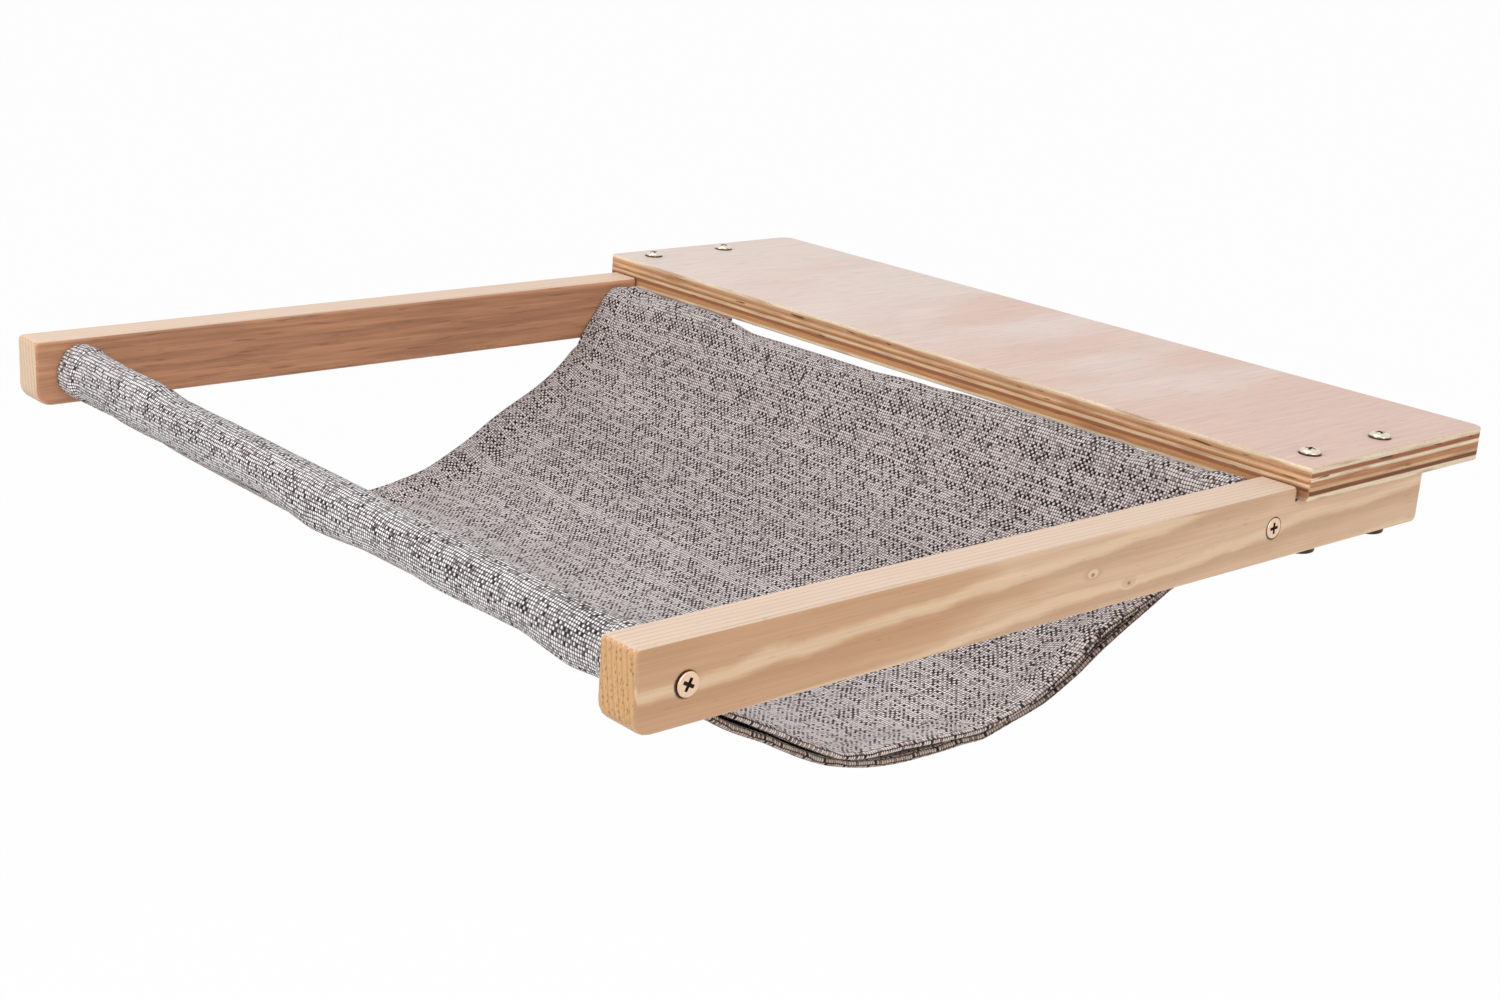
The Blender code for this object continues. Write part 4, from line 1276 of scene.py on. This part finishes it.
class HAMMOCK_OT_make_rod_screws(bpy.types.Operator):
    """Models the flat-head screw once and sets it at each rod end"""

    bl_idname = "hammock.make_rod_screws"
    bl_label = "Rod screws"

    def execute(self, context):
        fixings = context.scene.hammock_fixings
        low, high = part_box("rod_screw_front_right")
        length, radius = high.x - low.x, (high.y - low.y) / 2
        rim, shank = 0.0008, 0.003
        profile = [
            (radius - 0.0004, 0), (radius, -0.0004), (radius, -rim), (shank, -rim - radius + shank),
            (shank, 0.009 - length), (shank * 0.62, 0.004 - length), (shank * 0.12, -length),
        ]
        pattern = lathe("rod_screw", profile, ROUND_STEPS)
        cut(pattern, cross_cutter("recess", fixings, 0))
        recess_shade_faces(pattern, fixings, 0)
        eased(pattern, fixings.edge_bevel)
        turns = {"front_right": 62, "rear_right": 4, "front_left": 38, "rear_left": 75}

        def stand_of(node, side):
            low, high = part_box(node)
            _, y, z = middle_of(node)
            seat = Vector((high.x if side > 0 else low.x, y, z))
            return Matrix.Translation(seat) @ Matrix.Rotation(side * math.pi / 2, 4, "Y")

        places = four_places("rod_screw", stand_of, turns)
        gold = tuple(fixings.screw_gold)
        material = metal_material("yellow_zinc", gold, (gold[0], gold[1] * 1.16, gold[2] * 0.96), 0.30, 1.0)
        copies(pattern, places, "yellow_zinc_screw", material, recess_shade_material(tuple(fixings.recess_shade)))
        return {"FINISHED"}


class HAMMOCK_OT_make_shelf_bolts(bpy.types.Operator):
    """Models the domed bolt once and sets it at each shelf corner"""

    bl_idname = "hammock.make_shelf_bolts"
    bl_label = "Shelf bolts"

    def execute(self, context):
        fixings = context.scene.hammock_fixings
        low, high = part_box("shelf_bolt_front_right")
        radius, top, length = (high.x - low.x) / 2, 0.0030, high.z - low.z - 0.0030
        profile = [(radius * 0.10, top)]
        for step in range(1, 9):
            angle = math.pi / 2 * (1 - step / 8)
            profile.append((radius * math.cos(angle), 0.0007 + (top - 0.0007) * math.sin(angle)))
        profile += [(radius, 0.0), (0.003, 0.0), (0.003, 0.001 - length), (0.002, -length)]
        pattern = lathe("shelf_bolt", profile, ROUND_STEPS)
        cut(pattern, cross_cutter("recess", fixings, top))
        recess_shade_faces(pattern, fixings, top)
        eased(pattern, fixings.edge_bevel)
        turns = {"front_right": 20, "rear_right": 55, "front_left": 70, "rear_left": 10}

        def stand_of(node, side):
            x, y, _ = middle_of(node)
            return Matrix.Translation((x, y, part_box(node)[1].z - top))

        places = four_places("shelf_bolt", stand_of, turns)
        zinc = tuple(fixings.bolt_zinc)
        # The bolt heads are darkened with painted shade just above the shelf's face.
        material = metal_material("bright_zinc", zinc, (zinc[0], zinc[1] * 0.97, zinc[2] * 0.84), 0.20, 2.0,
                                  rim=SHELF_HIGH.z + 0.0009)
        copies(pattern, places, "zinc_bolt", material, bpy.data.materials["recess_painted_shade"])
        return {"FINISHED"}


class HAMMOCK_OT_make_shelf_nuts(bpy.types.Operator):
    """Models the flanged barrel nut once and sets it under each bolt"""

    bl_idname = "hammock.make_shelf_nuts"
    bl_label = "Shelf nuts"

    def execute(self, context):
        fixings = context.scene.hammock_fixings
        low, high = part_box("shelf_nut_front_right")
        flange, flange_rim, flange_depth = (high.x - low.x) / 2, 0.0022, 0.0040
        barrel, barrel_length = 0.0045, high.z - low.z - flange_depth
        profile = [(0.0033, 0.0015), (0.0033, barrel_length), (barrel, barrel_length), (barrel, 0.0),
                   (flange, 0.0), (flange, -flange_rim)]
        for step in range(1, 7):
            angle = math.pi / 2 * step / 7
            down = flange_rim + (flange_depth - flange_rim) * math.sin(angle)
            profile.append((flange * math.cos(angle), -down))
        profile.append((flange * 0.10, -flange_depth))
        pattern = lathe("shelf_nut", profile, ROUND_STEPS)
        deselect()
        bpy.ops.mesh.primitive_cylinder_add(vertices=6, radius=0.0029, depth=0.004,
                                            location=(0, 0, -flange_depth))
        cut(pattern, [settle(started("socket"))])
        eased(pattern, fixings.edge_bevel)

        def stand_of(node, side):
            x, y, _ = middle_of(node)
            return Matrix.Translation((x, y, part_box(node)[0].z + flange_depth))

        places = four_places("shelf_nut", stand_of, {})
        bronze = tuple(fixings.nut_bronze)
        material = metal_material("dark_bronze", bronze, dimmed(bronze, 1.8), 0.40, 3.0, 0.6)
        copies(pattern, places, "dark_steel_nut", material)
        return {"FINISHED"}


class HAMMOCK_OT_sew_sling(bpy.types.Operator):
    """Sews both layers of the sling, lets them hang, and sets them round the rods"""

    bl_idname = "hammock.sew_sling"
    bl_label = "Sling"

    def execute(self, context):
        cloth = context.scene.hammock_cloth
        points, shares = drawn_cloth(cloth)
        points = hang(points, cloth)
        across, along = flat_places(points, shares, cloth)
        points = edge_moved(points, across, -1, LEFT_HEM_LIFTS)
        drawn = grid_normals(points)
        for row, pull in ((SEAM_ROW - 1, 0.35), (SEAM_ROW, 1), (SEAM_ROW + 1, 0.35)):
            for place in (row, points.shape[0] - 1 - row):
                points[place] -= drawn[place] * STITCH_PULL * pull
        shown = edge_moved(points, across, 1, RIGHT_HEM_LIFTS)
        normals = grid_normals(shown)
        upper, size = hemmed_sheet("sling_upper_cloth", shown, normals, across, along, cloth, 1)
        dress(upper, cloth_material("sling_cloth", cloth, (1.0, 1.0, 1.0), (0.84, 0.77, 0.72), 0.0010))
        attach(upper, ROOT)
        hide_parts("front_sleeve", "rear_sleeve", "sling_upper_layer")

        low, high = SEAM_ROW + 1, points.shape[0] - SEAM_ROW - 1
        points = edge_moved(points, across, 1, LINING_DROPS, -1)
        normals = grid_normals(points)[low:high]
        lower = lower_layer(points[low:high], normals, across, cloth)
        lining, lining_size = hemmed_sheet("sling_lower_cloth", lower[:, ::-1], -normals[:, ::-1],
                                           across[-1] - across[::-1] + across[0], along[low:high], cloth, 0)
        # The lining's darker, browner tint and its wider brown hems are painted shade; it is the same cloth as
        # the upper layer.
        dress(lining, cloth_material("lining_cloth", cloth, (0.86, 0.81, 0.78), (0.74, 0.66, 0.58), 0.012))
        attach(lining, ROOT)
        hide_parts("sling_lower_layer")
        return {"FINISHED"}


class HAMMOCK_OT_set_studio(bpy.types.Operator):
    """Sets the pale floor, the soft lamps and the camera"""

    bl_idname = "hammock.set_studio"
    bl_label = "Studio"

    def execute(self, context):
        studio = context.scene.hammock_studio
        deselect()
        bpy.ops.mesh.primitive_plane_add(size=studio.floor_span, location=(0, 0, -studio.floor_drop))
        floor = settle(started("studio_floor"))
        material, tree = new_material("pale_floor")
        tree.nodes.clear()
        matt = put(tree, "ShaderNodeBsdfDiffuse", {"Color": tuple(studio.floor_colour)})
        shown_white(tree, "ShaderNodeOutputMaterial", matt, "ShaderNodeEmission", 0.965)
        dress(floor, material)

        world = bpy.data.worlds.new("studio_world")
        context.scene.world = world
        world.use_nodes = True
        tree = world.node_tree
        tree.nodes.clear()
        soft = put(tree, "ShaderNodeBackground", {"Color": (0.97, 0.98, 1.0), "Strength": 0.68})
        shown_white(tree, "ShaderNodeOutputWorld", soft, "ShaderNodeBackground", 1.0)

        middle = Vector((0, -0.33, -0.03))
        for name, place, size, power in (
            ("overhead_lamp", (-0.5, -0.4, 2.3), 1.6, 13.0),
            ("front_lamp", (-0.4, -2.4, 1.0), 1.5, 27.0),
            ("side_lamp", (2.3, -0.7, 0.8), 1.3, 14.0),
        ):
            deselect()
            bpy.ops.object.light_add(type="AREA", location=place)
            lamp = bpy.context.object
            lamp.name = lamp.data.name = name
            lamp.data.shape = "SQUARE"
            lamp.data.size = size
            lamp.data.energy = power
            lamp.rotation_mode = "QUATERNION"
            lamp.rotation_quaternion = (middle - Vector(place)).to_track_quat("-Z", "Y")

        turn, tilt = studio.azimuth, studio.elevation
        look = Vector((-math.sin(turn) * math.cos(tilt), math.cos(turn) * math.cos(tilt), -math.sin(tilt)))
        level = Vector((math.cos(turn), math.sin(turn), 0))
        upright = level.cross(look)
        right = level * math.cos(studio.roll) + upright * math.sin(studio.roll)
        up = upright * math.cos(studio.roll) - level * math.sin(studio.roll)
        deselect()
        bpy.ops.object.camera_add(location=tuple(studio.place))
        camera = bpy.context.object
        camera.name = camera.data.name = "studio_camera"
        camera.rotation_mode = "QUATERNION"
        camera.rotation_quaternion = Matrix((right, up, -look)).transposed().to_quaternion()
        camera.data.sensor_width = 36
        camera.data.lens = studio.lens
        context.scene.camera = camera
        context.scene.view_settings.view_transform = "Standard"
        return {"FINISHED"}


STEPS = (
    HAMMOCK_OT_shared_effects,
    HAMMOCK_OT_finish_rails,
    HAMMOCK_OT_finish_shelf,
    HAMMOCK_OT_finish_rods,
    HAMMOCK_OT_make_rod_screws,
    HAMMOCK_OT_make_shelf_bolts,
    HAMMOCK_OT_make_shelf_nuts,
    HAMMOCK_OT_sew_sling,
    HAMMOCK_OT_set_studio,
)
SETTINGS = {
    "hammock_cloth": HammockCloth,
    "hammock_timber": HammockTimber,
    "hammock_fixings": HammockFixings,
    "hammock_studio": HammockStudio,
}


class HAMMOCK_PT_panel(bpy.types.Panel):
    """Lists the hammock's settings and the steps that make it"""

    bl_idname = "HAMMOCK_PT_panel"
    bl_label = "Cat hammock"
    bl_space_type = "VIEW_3D"
    bl_region_type = "UI"
    bl_category = "Hammock"

    def draw(self, context):
        for step in STEPS:
            self.layout.operator(step.bl_idname)
        for key, group in SETTINGS.items():
            box = self.layout.box()
            box.label(text=group.__name__)
            for name in group.__annotations__:
                box.prop(getattr(context.scene, key), name)


def register():
    for group in SETTINGS.values():
        bpy.utils.register_class(group)
    for key, group in SETTINGS.items():
        setattr(bpy.types.Scene, key, PointerProperty(type=group))
    for step in (*STEPS, HAMMOCK_PT_panel):
        bpy.utils.register_class(step)


def unregister():
    for step in (HAMMOCK_PT_panel, *reversed(STEPS)):
        bpy.utils.unregister_class(step)
    for key in SETTINGS:
        delattr(bpy.types.Scene, key)
    for group in SETTINGS.values():
        bpy.utils.unregister_class(group)


def main():
    """Makes every piece in order."""
    register()
    bpy.ops.hammock.shared_effects()
    bpy.ops.hammock.finish_rails()
    bpy.ops.hammock.finish_shelf()
    bpy.ops.hammock.finish_rods()
    bpy.ops.hammock.make_rod_screws()
    bpy.ops.hammock.make_shelf_bolts()
    bpy.ops.hammock.make_shelf_nuts()
    bpy.ops.hammock.sew_sling()
    bpy.ops.hammock.set_studio()


if __name__ == "__main__":
    main()
